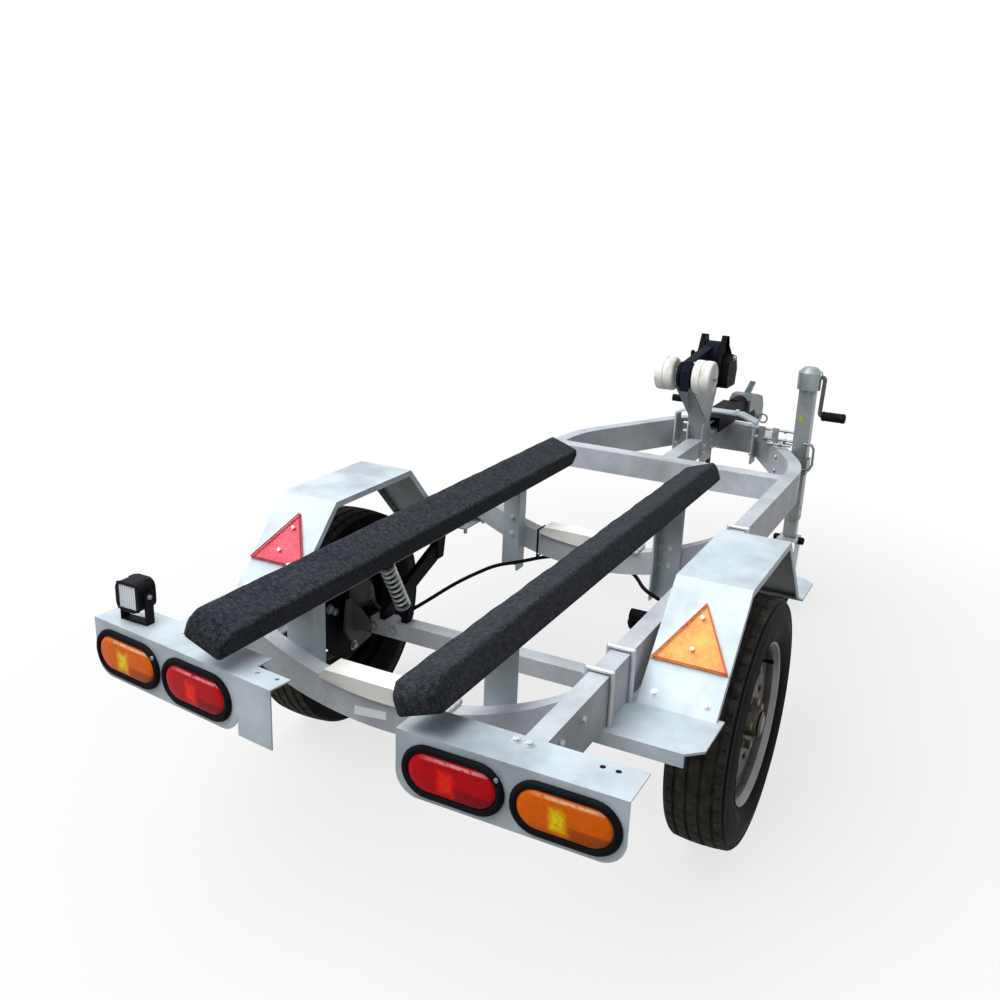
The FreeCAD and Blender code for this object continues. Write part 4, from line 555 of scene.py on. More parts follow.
def make_bunks():
    """The carpeted bunks: tilted, bevelled at the ends and slightly uneven on top."""
    for side, sign in SIDES.items():
        low, high, middle = size_of(f"bunk_{side}")
        across = Vector((sign * math.cos(BUNK_TILT), 0, math.sin(BUNK_TILT)))
        up = Vector((-sign * math.sin(BUNK_TILT), 0, math.cos(BUNK_TILT)))
        shape = Shape()
        length = high.y - low.y
        run = length - 2 * BUNK_BEVEL
        insets = [0.0, 0.003, 0.008]
        stations = insets + [BUNK_BEVEL + run * k / BUNK_STATIONS for k in range(BUNK_STATIONS + 1)]
        stations += [length - inset for inset in reversed(insets)]
        rings = []
        for along in stations:
            end = min(along, length - along)
            share = 1 - min(end, BUNK_ROUND) / BUNK_ROUND
            shrink = BUNK_ROUND * (1 - math.sqrt(max(0.0, 1 - share ** 2)))
            top = BUNK_HEIGHT / 2 - max(0.0, BUNK_BEVEL - end) - shrink * 0.5
            points = []
            for a, u in bunk_section(BUNK_WIDTH - 2 * shrink, -BUNK_HEIGHT / 2 + shrink, top, BUNK_ROUND):
                wave = 0.0007 * math.sin(along * 31 + a * 60) + 0.0005 * math.sin(along * 83 + u * 140)
                place = middle + across * a + up * (u + wave * (1 if u > 0 else 0))
                points.append(Vector((place.x, low.y + along, place.z)))
            rings.append(shape.ring(points))
        shape.solid(rings)
        piece = shape.done(f"bunk_carpet_{side}", "carpet", "frame", replaces=(f"bunk_{side}",), smooth=60)


# ------------------------------------------------------------------- wheels
TREAD_HALF = 0.056
TREAD_STEPS = 300
CUT_SPACING = 6
GROOVES = (-0.040, -0.0135, 0.0135, 0.040)
GROOVE_HALF = 0.0035
GROOVE_DEPTH = 0.0065
# The shoulder: how far out from the tread's edge, and in from the radius.
# The sidewall: how far in from its widest place, and from the radius.
SHOULDER = ((0.004, 0.0065), (0.0085, 0.012), (0.0095, 0.019), (0.0085, 0.0215))
SIDEWALL = ((0.003, 0.034), (0.001, 0.048), (0.0, 0.058), (0.0012, 0.060), (0.0012, 0.0632), (0.0, 0.065),
            (0.003, 0.077), (0.007, 0.087), (0.0105, 0.092), (0.0085, 0.0945), (0.013, 0.102))


def tread_profile(radius):
    """The tread from one shoulder to the other: (across, radius, depth of cross cuts)."""
    def crown(x):
        return radius - 0.004 * (x / TREAD_HALF) ** 2

    points = []
    edges = sorted([-TREAD_HALF] + [g + s * GROOVE_HALF for g in GROOVES for s in (-1, 1)] + [TREAD_HALF])
    last = len(edges) - 2
    for k in range(0, len(edges), 2):
        start, stop = edges[k], edges[k + 1]
        points.append((start, crown(start) - GROOVE_DEPTH if k else crown(start), 0.0))
        for part in range(4):
            x = start + (stop - start) * (part + 0.02) / 3.04
            points.append((x, crown(x), 0.005 if k in (0, last) else 0.0025))
        points.append((stop, crown(stop) - GROOVE_DEPTH if k < last else crown(stop), 0.0))
    return points


def make_tyre(side):
    low, high, middle = size_of(f"tyre_{side}")
    radius = (high.z - low.z) / 2
    half_width = (high.x - low.x) / 2
    wall = [(TREAD_HALF + out, radius - down) for out, down in SHOULDER]
    wall += [(half_width - inward, radius - down) for inward, down in SIDEWALL]
    profile = tread_profile(radius)
    shape = Shape()
    rings = []
    for step, away in enumerate(circle(Y, Z, TREAD_STEPS)):
        points = []
        for across, reach, cut in profile:
            phase = step if across > 0.02 else step + 2 if across > -0.02 else step + 4
            depth = cut if phase % CUT_SPACING == 0 else 0.0
            points.append(middle + X * across + away * (reach - depth))
        points += [middle + X * across + away * reach for across, reach in wall]
        points += [middle - X * across + away * reach for across, reach in reversed(wall)]
        rings.append(shape.ring(points))
    shape.skin(rings, along=True)
    piece = shape.done(f"tyre_tread_{side}", "tyre", f"wheel_{side}", replaces=(f"tyre_{side}",), smooth=30)
    piece.data.materials.append(MATERIALS["tread"])
    for face in piece.data.polygons:
        centre = face.center - middle
        if abs(centre.x) < TREAD_HALF + 0.006 and math.hypot(centre.y, centre.z) > radius - 0.0125:
            face.material_index = 1


RIM_STEPS = 96
RIM_WALL = 0.0028
VENTS = 12
LUGS = 5
LUG_CIRCLE = 0.050
# How far in from the rim's front or rear edge, and how far down from its radius.
RIM_FRONT = ((0.003, 0.0), (0.0, 0.003), (0.002, 0.010), (0.012, 0.0165), (0.030, 0.018), (0.038, 0.030))
RIM_REAR = ((0.036, 0.030), (0.028, 0.018), (0.010, 0.0165), (0.002, 0.010), (0.0, 0.003), (0.003, 0.0))
RIM_REAR_INSIDE = ((0.007, 0.016), (0.027, 0.018), (0.035, 0.030))
RIM_FRONT_INSIDE = ((0.037, 0.030), (0.029, 0.018), (0.014, 0.0165))
RIM_WELL = 0.034


def make_rim(side, sign):
    """A pressed steel wheel: rolled lips, a dished disc with round vents, and its wheel bolts."""
    low, high, middle = size_of(f"wheel_rim_{side}")
    radius = (high.z - low.z) / 2
    half = (high.x - low.x) / 2
    axis = X * sign
    top = radius - RIM_WELL - RIM_WALL
    section = [(half - inset, radius - drop) for inset, drop in RIM_FRONT]
    section += [(-0.010, radius - RIM_WELL)]
    section += [(inset - half, radius - drop) for inset, drop in RIM_REAR]
    section += [(inset - half, radius - drop - RIM_WALL) for inset, drop in RIM_REAR_INSIDE]
    section += [(0.0, top)]
    section += [(half - inset, radius - drop - RIM_WALL) for inset, drop in RIM_FRONT_INSIDE]
    section += [(half - 0.0045, radius - 0.011)]
    barrel = Shape().loop_lathe(middle, axis, section, RIM_STEPS)
    replaced = (f"wheel_rim_{side}",)
    item = barrel.done(f"rim_barrel_{side}", "silver_paint", f"wheel_{side}", replaces=replaced, smooth=40)
    # Black paint on the barrel's inboard side is painted shade inside the wheel.
    item.data.materials.append(MATERIALS["black_paint"])
    item.data.materials.append(MATERIALS["worn_disc"])
    for polygon in item.data.polygons:
        out = sign * (polygon.center.x - middle.x)
        reach = math.hypot(polygon.center.y - middle.y, polygon.center.z - middle.z)
        # Inboard faces: painted shade.
        if out < 0.004:
            polygon.material_index = 1
        elif out < half - 0.012 and reach < radius - 0.0175:
            polygon.material_index = 2

    face = [(0.012, top), (0.030, top - 0.010), (0.036, top - 0.026), (0.030, top - 0.044),
            (0.029, top - 0.058), (0.037, 0.078), (0.040, 0.070), (0.037, 0.060), (0.037, 0.0335)]
    back = [(along - RIM_WALL, reach) for along, reach in reversed(face)]
    disc = Shape().loop_lathe(middle, axis, face + back, RIM_STEPS)
    disc_piece = disc.done(f"rim_disc_{side}", "worn_disc", f"wheel_{side}", smooth=40)
    cutters = Shape()
    for away in circle(Y, Z, VENTS, 0.5):
        cutters.lathe(middle + away * (top - 0.047), axis, [(-0.01, 0.0105), (0.07, 0.0105)], 20)
    cut_through(disc_piece, cutters)

    low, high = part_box(f"brake_drum_{side}")
    lugs = Shape()
    for away in circle(Y, Z, LUGS, 0.25):
        lugs.lathe(middle + away * LUG_CIRCLE, axis, [(0.036, 0.0125), (0.041, 0.0105), (0.042, 0.0095)], 24)
        lugs.lathe(middle + away * LUG_CIRCLE, axis, [(0.042, 0.0095), (0.053, 0.0095), (0.055, 0.0075)], 6)
    end = abs(high.x - middle.x) if sign > 0 else abs(low.x - middle.x)
    cap = [(0.034, 0.0315), (end - 0.008, 0.0312), (end - 0.006, 0.0285), (end - 0.0005, 0.024),
           (end + 0.0008, 0.015), (end + 0.001, 0.0)]
    lugs.lathe(middle, axis, cap, 40)
    lugs.done(f"wheel_bolts_{side}", "worn_bolts", f"wheel_{side}", smooth=35)
    valve = middle + Vector((0, 0.6, 0.8)) * (top - 0.012)
    stem = [(0.02, 0.004), (0.05, 0.004), (0.05, 0.005), (0.058, 0.005), (0.060, 0.003)]
    Shape().lathe(valve, axis, stem, 12).done(f"valve_{side}", "black_rubber", f"wheel_{side}")


def cut_through(item, cutters):
    """Takes the cutters' volume out of a piece, leaving plain mesh."""
    tool = cutters.done(item.name + "_cutter", "zinc", "frame")
    modifier = item.modifiers.new("vents", "BOOLEAN")
    modifier.operation = "DIFFERENCE"
    modifier.solver = "EXACT"
    modifier.object = tool
    bpy.context.view_layer.update()
    shaped = bpy.data.meshes.new_from_object(item.evaluated_get(bpy.context.evaluated_depsgraph_get()))
    item.modifiers.clear()
    item.data = shaped
    bpy.data.objects.remove(tool)


# -------------------------------------------------------------------- lamps
LAMP_LENGTH = 0.187
LAMP_HEIGHT = 0.095
LAMP_RIM = 0.013
LAMP_STRAIGHT = (LAMP_LENGTH - LAMP_HEIGHT) / 2
LAMP_RADIUS = LAMP_HEIGHT / 2
LENS_RADIUS = LAMP_RADIUS - LAMP_RIM
# Share of the lens's radius, and how far it stands off the board.
LENS_DOME = ((1, 0.0), (1, 0.0035), (0.975, 0.0058), (0.93, 0.0074), (0.85, 0.0083), (0.6, 0.0087))


def lamp_ring(shape, side, place, half, radius, ahead):
    """A stadium's outline on a lamp board, so far ahead of its rear face."""
    outline = stadium(half, radius)
    return shape.ring([on_board(side, place + X * across + Z * up + Y * ahead) for across, up in outline])


def make_lamps():
    """The lamps' rubber surrounds, domed lenses and screws."""
    edge = LAMP_RADIUS
    section = [(edge - 0.0005, 0.0), (edge, 0.003), (edge - 0.0015, 0.0065), (edge - 0.005, 0.0088),
               (edge - 0.009, 0.0088), (edge - 0.0118, 0.0072), (LENS_RADIUS, 0.0045), (LENS_RADIUS, -0.004)]
    rubber = Shape()
    lenses = {"red": Shape(), "amber": Shape()}
    screws = Shape()
    for colour, side, place in lamp_places():
        rubber.skin([lamp_ring(rubber, side, place, LAMP_STRAIGHT, reach, -off) for reach, off in section])
        lens = lenses[colour]
        rings = []
        for scale, off in LENS_DOME:
            straight = LAMP_STRAIGHT - (1 - scale) * LENS_RADIUS
            rings.append(lamp_ring(lens, side, place, straight, (LENS_RADIUS + 0.0002) * scale, -off))
        lens.skin(rings)
        lens.face(lamp_ring(lens, side, place, LAMP_STRAIGHT - 0.4 * LENS_RADIUS, LENS_RADIUS * 0.6, -off))
        screw = place + X * (LAMP_STRAIGHT + edge * 0.72) * SIDES[side] + Z * edge * 0.60 - Y * 0.0068
        if (colour == "red") == (side == "right"):
            screws.lathe(on_board(side, screw), -Y, [(0, 0.0046), (0.0016, 0.0040), (0.0020, 0.0018)], 16)
    rubber.done("lamp_rubber", "black_rubber", "frame", replaces=("lamp_surrounds",), smooth=50)
    for colour, lens in lenses.items():
        replaced = (f"lamp_lenses_{colour}",)
        lens.done(f"lens_domes_{colour}", f"{colour}_lens", "frame", replaces=replaced, smooth=50)
    screws.done("lamp_screws", "zinc", "frame")


def make_lamp_backs():
    """Closed black lamp bodies behind the boards."""
    backs = Shape()
    for _, side, place in lamp_places():
        rings = [lamp_ring(backs, side, place, LAMP_STRAIGHT, reach, ahead)
                 for reach, ahead in ((0.034, 0.003), (0.034, 0.014), (0.028, 0.0178))]
        backs.skin(rings)
        backs.face(rings[-1])
    backs.done("lamp_backs", "black_plastic", "frame")


WORK_LAMP_COLUMNS, WORK_LAMP_ROWS, WORK_LAMP_FINS = 3, 2, 6
WORK_LAMP_EDGE = 0.004


def make_work_lamp():
    """The work lamp's reflector bowls, cooling fins, front edge and side bolts."""
    low, high, middle = size_of("work_lamp_lens")
    cells = Shape()
    wide = (high.x - low.x) / WORK_LAMP_COLUMNS
    tall = (high.z - low.z) / WORK_LAMP_ROWS
    narrow = min(wide, tall)
    for i in range(WORK_LAMP_COLUMNS):
        for j in range(WORK_LAMP_ROWS):
            centre = Vector((low.x + (i + 0.5) * wide, low.y + 0.004, low.z + (j + 0.5) * tall))
            bowl = [(-0.0030, narrow * 0.46), (0.0010, narrow * 0.40), (0.0032, narrow * 0.16)]
            cells.lathe(centre, Y, bowl, 24)
    cells.done("work_lamp_cells", "silver_paint", "frame")
    body_low, body_high, body = size_of("work_lamp")
    shape = Shape()
    for k in range(WORK_LAMP_FINS):
        x = low.x + (high.x - low.x) * (k + 0.5) / WORK_LAMP_FINS
        foot = (x - 0.0025, body.y + 0.004, high.z - 0.004)
        shape.box(foot, (x + 0.0025, body_high.y - 0.004, body_high.z - 0.0004), 0.0006)
    edge = WORK_LAMP_EDGE
    for x1, z1, x2, z2 in ((low.x - edge, low.z - edge, high.x + edge, low.z),
                           (low.x - edge, high.z, high.x + edge, high.z + edge),
                           (low.x - edge, low.z, low.x, high.z), (high.x, low.z, high.x + edge, high.z)):
        shape.box((x1, body_low.y + 0.0002, z1), (x2, body_low.y + 0.006, z2), 0.0008)
    shape.done("work_lamp_fins", "black_plastic", "frame")
    bolts = Shape()
    for sign in (-1, 1):
        end = body.x + sign * (body_high.x - body_low.x) / 2
        bolts.bolt((end, body.y, middle.z), X * sign, 0.0045, 1.2)
    bolts.done("work_lamp_bolts", "zinc", "frame")


# --------------------------------------------------------------- suspension
SPRING_TURNS = 8.5
SPRING_STEPS = 22
SPRING_WIRE = 0.0045
SPRING_RADIUS = 0.021
SPRING_LEAN = math.atan2(0.110, 0.190)
PIVOT_DROP = 0.039
BEAM_BOLT_X = (0.352, 0.412)
BEAM_BOLT_Z = 0.283


def make_springs():
    """Coil springs along the dampers, which lean back from the axle, and the suspension's bolts."""
    low, high, middle = size_of("springs")
    radius, lean = SPRING_RADIUS, SPRING_LEAN
    length = (high.z - low.z - 2 * radius * math.sin(lean)) / math.cos(lean)
    way = Vector((0, -math.sin(lean), math.cos(lean)))
    up = way.cross(X)
    steps = int(SPRING_TURNS * SPRING_STEPS)
    for side, sign in SIDES.items():
        centre = Vector((sign * (high.x - radius), middle.y, middle.z))
        points = []
        for k in range(steps + 1):
            part = k / steps
            squash = 0.5 + 0.5 * min(1, min(part, 1 - part) * SPRING_TURNS)
            height = (part - 0.5) * (length - 2 * SPRING_WIRE) * (0.94 + 0.06 * squash)
            a = 2 * math.pi * SPRING_TURNS * part
            turned = X * math.cos(a) + up * math.sin(a)
            points.append(centre + way * height + turned * (radius - SPRING_WIRE))
        shape = Shape().tube(points, SPRING_WIRE, 8)
        for end in (-1, 1):
            seat = centre + way * end * (length / 2 - 0.001)
            shape.lathe(seat, way, [(-0.0015, radius), (0.0015, radius)], 28)
        replaces = ("springs",) if side == "right" else ()
        shape.done(f"coil_spring_{side}", "bright_zinc", "frame", replaces=replaces, smooth=60)
    bolts = Shape()
    low, high, middle = size_of("arm_brackets")
    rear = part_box("axle_beam")[0].y
    for sign in SIDES.values():
        bolts.bolt((sign * high.x, middle.y, high.z - PIVOT_DROP), X * sign, 0.009, 1.3)
        for x in BEAM_BOLT_X:
            bolts.bolt((sign * x, rear, BEAM_BOLT_Z), -Y, 0.009, 1.4)
    bolts.done("suspension_bolts", "zinc", "frame")


# The casting inside each brake. Its outline is given ahead of the axle and above the floor.
CASTING_FACE, CASTING_INNER, BACK_PLATE_FACE = 0.462, 0.418, 0.4995
CASTING_OUTLINE = ((-0.060, 0.352), (0.052, 0.352), (0.064, 0.300), (0.040, 0.215), (-0.030, 0.205),
                   (-0.072, 0.270))
# Place ahead, low and high end of each rib; then place ahead, height and radius of each bolt.
CASTING_RIBS = ((-0.036, 0.262, 0.340), (0.030, 0.230, 0.330))
CASTING_BOLTS = ((-0.042, 0.222, 0.0095), (-0.092, 0.334, 0.0100), (-0.070, 0.318, 0.0085),
                 (0.036, 0.316, 0.008))
HUB_DOME = ((-0.010, 0.0345), (0.004, 0.0345), (0.016, 0.031), (0.028, 0.022), (0.034, 0.010), (0.0355, 0.0))


def make_hub_castings():
    """The cast carrier between the beam and each brake, with its dome and adjuster bolts."""
    axle = size_of("axle_beam")[2].y
    cast, domes, bolts = Shape(), Shape(), Shape()
    for sign in SIDES.values():
        def at(x, y, z):
            return Vector((sign * x, axle + y, z))

        cast.prism([at(CASTING_FACE, y, z) for y, z in CASTING_OUTLINE], X * sign * 0.012)
        for y, low, high in CASTING_RIBS:
            rib = ((CASTING_INNER, 0.298), (CASTING_FACE, high), (CASTING_FACE, low), (CASTING_INNER, 0.270))
            cast.prism([at(x, y, z) for x, z in rib], Y * 0.010)
        domes.lathe(at(CASTING_FACE, -0.010, 0.366), -X * sign, HUB_DOME, 32)
        for y, z, radius in CASTING_BOLTS:
            face = BACK_PLATE_FACE if y < -0.060 else CASTING_FACE
            bolts.bolt(at(face, y, z), -X * sign, radius, 1.4)
    cast.done("hub_castings", "cast_iron", "frame", bevel=0.002)
    domes.done("hub_domes", "cast_iron", "frame", smooth=60)
    bolts.done("hub_bolts", "zinc", "frame")


# ---------------------------------------------------------------------- bow
def roller_profile(half, radius, bore, grooves, depth):
    """A moulded roller's (along, radius) profile with narrow grooves round it."""
    edge = 0.008
    start = [(-half, bore + 0.004), (-half, radius - edge), (-half + edge * 0.35, radius - edge * 0.3)]
    profile = start + [(-half + edge, radius)]
    for groove in grooves:
        profile += [(groove - 0.004, radius), (groove - 0.0025, radius - depth)]
        profile += [(groove + 0.0025, radius - depth), (groove + 0.004, radius)]
    return profile + [(half - edge, radius)] + [(-along, reach) for along, reach in reversed(start)]


WHITE_ROLLER_HALF = 0.031


def make_rollers():
    """The white bow rollers, the black centre roller and the nuts on their shaft."""
    low, high, middle = size_of("bow_rollers_white")
    profile = roller_profile(WHITE_ROLLER_HALF, (high.z - low.z) / 2, 0.010, (0.0,), 0.004)
    shape = Shape()
    for sign in SIDES.values():
        shape.lathe(Vector((sign * (high.x - WHITE_ROLLER_HALF), middle.y, middle.z)), X, profile, 56)
    shape.done("white_rollers", "white_rubber", "bow_rollers", replaces=("bow_rollers_white",), smooth=40)
    low, high, middle = size_of("bow_roller_centre")
    profile = roller_profile(high.x, (high.z - low.z) / 2, 0.010, (-0.006, 0.006), 0.003)
    centre = Shape().lathe(middle, X, profile, 48)
    centre.done("centre_roller", "black_rubber", "bow_rollers", replaces=("bow_roller_centre",), smooth=40)
    ends = Shape()
    for sign in SIDES.values():
        ends.bolt((sign * (high.x - 0.001), middle.y, middle.z), X * sign, 0.010, 1.35)
    ends.done("roller_nuts", "zinc", "frame")


DRUM_X = 0.021
STRAP_RADIUS = 0.042
COIL_RADIUS = 0.050
COIL_TURNS = 9
COIL_HALF = 0.0245
CHEEK_OUTER = 0.0312
CHEEK_EDGE = ((0.072, -0.030), (0.062, 0.010), (0.030, 0.034), (0.016, 0.070), (-0.014, 0.074),
              (-0.050, 0.010), (-0.075, -0.060))
# Place ahead of the drum's shaft, height above it and radius.
CHEEK_BOLTS = ((0.0, 0.0, 0.009), (-0.042, -0.030, 0.006), (0.040, -0.044, 0.006), (0.0, 0.052, 0.0045))


def make_winch_details():
    """The strap wound on the drum, the lips of the winch's cheeks, and its bolts."""
    strap_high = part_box("winch_strap")[1]
    drum = Vector((DRUM_X, strap_high.y - STRAP_RADIUS, strap_high.z - STRAP_RADIUS))
    strap = Shape()
    for turn in range(COIL_TURNS):
        radius = COIL_RADIUS - 0.0018 - turn * 0.0036
        outer = radius + 0.0030
        profile = [(-COIL_HALF, radius), (COIL_HALF, radius), (COIL_HALF, outer), (-COIL_HALF, outer)]
        strap.loop_lathe(drum, X, profile, 40)
    strap.done("strap_coil", "navy_web", "frame")
    lips = Shape()
    for sign in (-1, 1):
        centre = Vector((DRUM_X + sign * CHEEK_OUTER, drum.y, drum.z))
        inner = [Vector((centre.x, drum.y + y, drum.z + z)) for y, z in CHEEK_EDGE]
        rows = []
        for out, pull in ((0.0, 0.0), (0.013, 0.0), (0.013, 0.004), (0.0, 0.004)):
            rows.append(lips.ring([p + X * sign * out + (centre - p).normalized() * pull for p in inner]))
        lips.strip(rows)
    lips.done("winch_lips", "black_paint", "frame")
    details = Shape()
    for sign in (-1, 1):
        for y, z, radius in CHEEK_BOLTS:
            details.bolt((DRUM_X + sign * 0.031, drum.y + y, drum.z + z), X * sign, radius, 1.3)
    details.bolt((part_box("winch_frame")[1].x, drum.y, drum.z), X, 0.008, 1.3)
    details.done("winch_bolts", "zinc", "frame")


POST_FACE = 0.0285
POST_FOOT = 0.130


def make_post_bolts():
    """Bolts through the post's side plates into the keel beam, with the nuts on the left."""
    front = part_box("winch_post")[1].y
    foot = front - POST_FOOT
    keel_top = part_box("keel_beam")[1].z
    bolts = Shape()
    for y in (foot + 0.022, front - 0.022):
        for z in (keel_top - 0.020, keel_top - 0.045):
            bolts.bolt((POST_FACE, y, z), X, 0.0075, 1.35)
            bolts.bolt((-POST_FACE, y, z), -X, 0.0075, 1.35)
            bolts.lathe(Vector((-POST_FACE, y, z)), -X, [(0.006, 0.0042), (0.017, 0.0042)], 12)
    for z in (keel_top + 0.020, keel_top + 0.048):
        bolts.bolt((-POST_FACE, foot + 0.040, z), -X, 0.0080, 1.4)
        bolts.lathe(Vector((-POST_FACE, foot + 0.040, z)), -X, [(0.006, 0.0046), (0.024, 0.0046)], 12)
    bolts.done("post_bolts", "bright_zinc", "frame")


# --------------------------------------------------------------------- jack
def make_crank():
    """The jack's crank, a rod bent round at both ends of its arm, and its ribbed grip."""
    low, high, middle = size_of("jack_crank")
    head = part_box("jack_gear_head")[1]
    y = middle.y
    top = head.z - 0.028
    bend = 0.010
    quarter = [math.radians(15 * k) for k in range(1, 7)]
    arm = low.x + 0.001
    stub = (low.x + high.x) / 2 + 0.001
    foot = low.z + 0.020
    route = [(head.x - 0.004, y, top), (arm, y, top)]
    route += [(arm + bend * math.sin(a), y, top - bend + bend * math.cos(a)) for a in quarter]
    route += [(stub, y, foot)]
    route += [(stub + bend - bend * math.cos(a), y, foot - bend * math.sin(a)) for a in quarter]
    rod = Shape().tube(route, 0.0068, 12)
    rod.done("crank_rod", "cast_iron", "frame", replaces=("jack_crank",), smooth=50)
    low, high, middle = size_of("jack_crank_grip")
    radius = (high.z - low.z) / 2
    length = high.x - low.x
    ribs = 6
    profile = [(0, radius * 0.6), (0.002, radius * 0.92), (0.006, radius)]
    for k in range(ribs):
        start = 0.010 + k * (length - 0.022) / ribs
        profile += [(start, radius), (start + 0.002, radius * 0.93)]
        profile += [(start + 0.005, radius * 0.93), (start + 0.007, radius)]
    profile += [(length - 0.005, radius), (length - 0.0015, radius * 0.85), (length, radius * 0.5)]
    grip = Shape().lathe(Vector((low.x, middle.y, middle.z)), X, profile, 32)
    grip.done("crank_grip", "black_plastic", "frame", replaces=("jack_crank_grip",), smooth=50)


# Shares of the jockey wheel's half width and radius, from the outside in.
JOCKEY_WALL = ((0.82, 0.96), (1, 0.86), (1, 0.74), (0.9, 0.66))
JOCKEY_DISC = ((0.82, 0.67), (0.86, 0.60), (0.4, 0.52), (0.25, 0.30), (0.95, 0.22), (0.95, 0.11))


def make_jockey_wheel():
    """The jockey wheel's ribbed tyre and its dished rim."""
    low, high, middle = size_of("jockey_wheel")
    radius, half = (high.z - low.z) / 2, (high.x - low.x) / 2
    tyre = [(-half * across, radius * reach) for across, reach in reversed(JOCKEY_WALL)]
    for rib in (-0.5, 0.0, 0.5):
        at = rib * half
        tyre += [(at - 0.0028, radius - 0.0008), (at - 0.0018, radius - 0.004)]
        tyre += [(at + 0.0018, radius - 0.004), (at + 0.0028, radius - 0.0008)]
    tyre += [(half * across, radius * reach) for across, reach in JOCKEY_WALL]
    tyre += [(half * 0.7, radius * 0.60), (-half * 0.7, radius * 0.60)]
    wheel = Shape().loop_lathe(middle, X, tyre, 72)
    wheel.done("jockey_tyre", "black_rubber", "jockey_wheel", replaces=("jockey_wheel",), smooth=40)
    rim = [(-half * across, radius * reach) for across, reach in JOCKEY_DISC]
    rim += [(half * across, radius * reach) for across, reach in reversed(JOCKEY_DISC)]
    Shape().loop_lathe(middle, X, rim, 56).done("jockey_rim", "silver_paint", "jockey_wheel", smooth=40)


def make_jack_trim():
    """The bands round the jack's tube and the bolts of its clamp."""
    low, high, middle = size_of("jack_tube")
    axis = Vector((middle.x, middle.y, 0))
    bands = Shape()
    for z in (low.z + 0.004, low.z + 0.040, high.z - 0.010):
        band = [(-0.006, 0.0252), (-0.006, 0.0268), (0.006, 0.0268), (0.006, 0.0252)]
        bands.lathe(axis + Z * z, Z, band, 36)
    bands.done("jack_bands", "zinc", "frame")
    low, high, middle = size_of("jack_clamp")
    bolts = Shape()
    for z in (low.z + 0.012, high.z - 0.012):
        for ahead in (-0.034, 0.034):
            bolts.bolt((low.x, middle.y + ahead, z), -X, 0.0075, 1.4)
    bolts.done("clamp_bolts", "zinc", "frame")


def make_clamp_details():
    """The rods, nuts and straps that hold the jack's clamp to the rail's corner, and the caps on its fork."""
    low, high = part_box("jack_clamp")
    rail_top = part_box("frame_rail_right")[1].z
    rods = Shape()
    back = high.y - 0.006
    low_rod, high_rod = rail_top + 0.014, rail_top + 0.046
    for y, z, start in ((back, low_rod, 0.168), (back, high_rod, 0.140), (back - 0.070, low_rod, 0.236)):
        rods.tube([(start, y, z), (low.x + 0.040, y, z)], 0.0042, 12)
        for x in (start + 0.016, start + 0.046, low.x + 0.004):
            rods.lathe(Vector((x, y, z)), X, [(-0.0045, 0.0085), (0.0045, 0.0085)], 6)
    for x in (0.190, 0.236):
        rods.box((x, back - 0.006, rail_top + 0.001), (x + 0.022, back - 0.001, rail_top + 0.054), 0.001)
    rods.box((0.190, back - 0.016, rail_top + 0.0002), (low.x + 0.030, back + 0.003, rail_top + 0.006), 0.001)
    rods.done("clamp_rods", "zinc", "frame")
    low, high, fork = size_of("jack_fork")
    caps = Shape()
    for sign in (-1, 1):
        end = fork.x + sign * (high.x - low.x) / 2
        cap = [(-0.002, 0.013), (0.014, 0.013), (0.018, 0.009)]
        caps.lathe(Vector((end, fork.y, high.z - 0.014)), X * sign, cap, 24)
    caps.done("fork_caps", "black_plastic", "jack_fork")


# ---------------------------------------------------------------- fasteners
BOARD_BOLTS_X = (0.362, 0.385)
BOARD_BOLTS_AHEAD = 0.065
RAIL_BOLTS_Y = (-0.681, -0.589)
BRACKET_BOLTS = ((0.204, 0.494), (0.232, 0.494), (0.204, 0.446), (0.232, 0.446))


def make_frame_bolts():
    """Bolts of the lamp boards, the rails, the bunk brackets and the coupling's arch."""
    rail_low, rail_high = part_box("frame_rail_right")
    board_low, board_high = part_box("lamp_board_right")
    bracket_low, bracket_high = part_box("bunk_brackets")
    arch_low, arch_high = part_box("coupling_arch")
    axle = size_of("axle_beam")[2].y
    bolts = Shape()
    for side, sign in SIDES.items():
        for x in BOARD_BOLTS_X:
            bolts.bolt(on_board(side, (x, board_low.y + BOARD_BOLTS_AHEAD, board_high.z)), Z, 0.0065, 1.4)
        for y in RAIL_BOLTS_Y:
            bolts.bolt((sign * rail_high.x, axle + y, rail_high.z - 0.030), X * sign, 0.0068, 1.35)
        for face, way in ((bracket_low.y + 0.004, Y), (bracket_high.y - 0.004, -Y)):
            for x, z in BRACKET_BOLTS:
                bolts.bolt((sign * x, face, z), way, 0.0062, 1.35)
        for y in (arch_low.y + 0.014, arch_high.y - 0.014):
            bolts.bolt((sign * (arch_high.x - 0.006), y, rail_low.z + 0.020), -X * sign, 0.0072, 1.35)
            bolts.bolt((sign * 0.070, y, arch_high.z), Z, 0.0075, 1.4)
    bolts.done("frame_bolts", "bright_zinc", "frame")


FENDER_SLOPE = math.atan2(0.200, 0.190)
FENDER_BOLTS_X = (0.449, 0.552)
FENDER_BOLT_RISE = 0.020
LIP_TOP, LIP_FOOT, LIP_THICK = 0.0012, 0.017, 0.0022


def make_fender_bolts():
    """Two small bolts at the foot of each fender's slopes."""
    low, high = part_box("fender_right")
    back = FENDER_BOLT_RISE / math.tan(FENDER_SLOPE)
    bolts = Shape()
    for sign in SIDES.values():
        for end, y in ((-1, low.y), (1, high.y)):
            way = Vector((0, end * math.sin(FENDER_SLOPE), math.cos(FENDER_SLOPE)))
            for x in FENDER_BOLTS_X:
                bolts.bolt(Vector((sign * x, y - end * back, low.z + FENDER_BOLT_RISE)), way, 0.0058, 1.4)
    bolts.done("fender_bolts", "label", "frame")


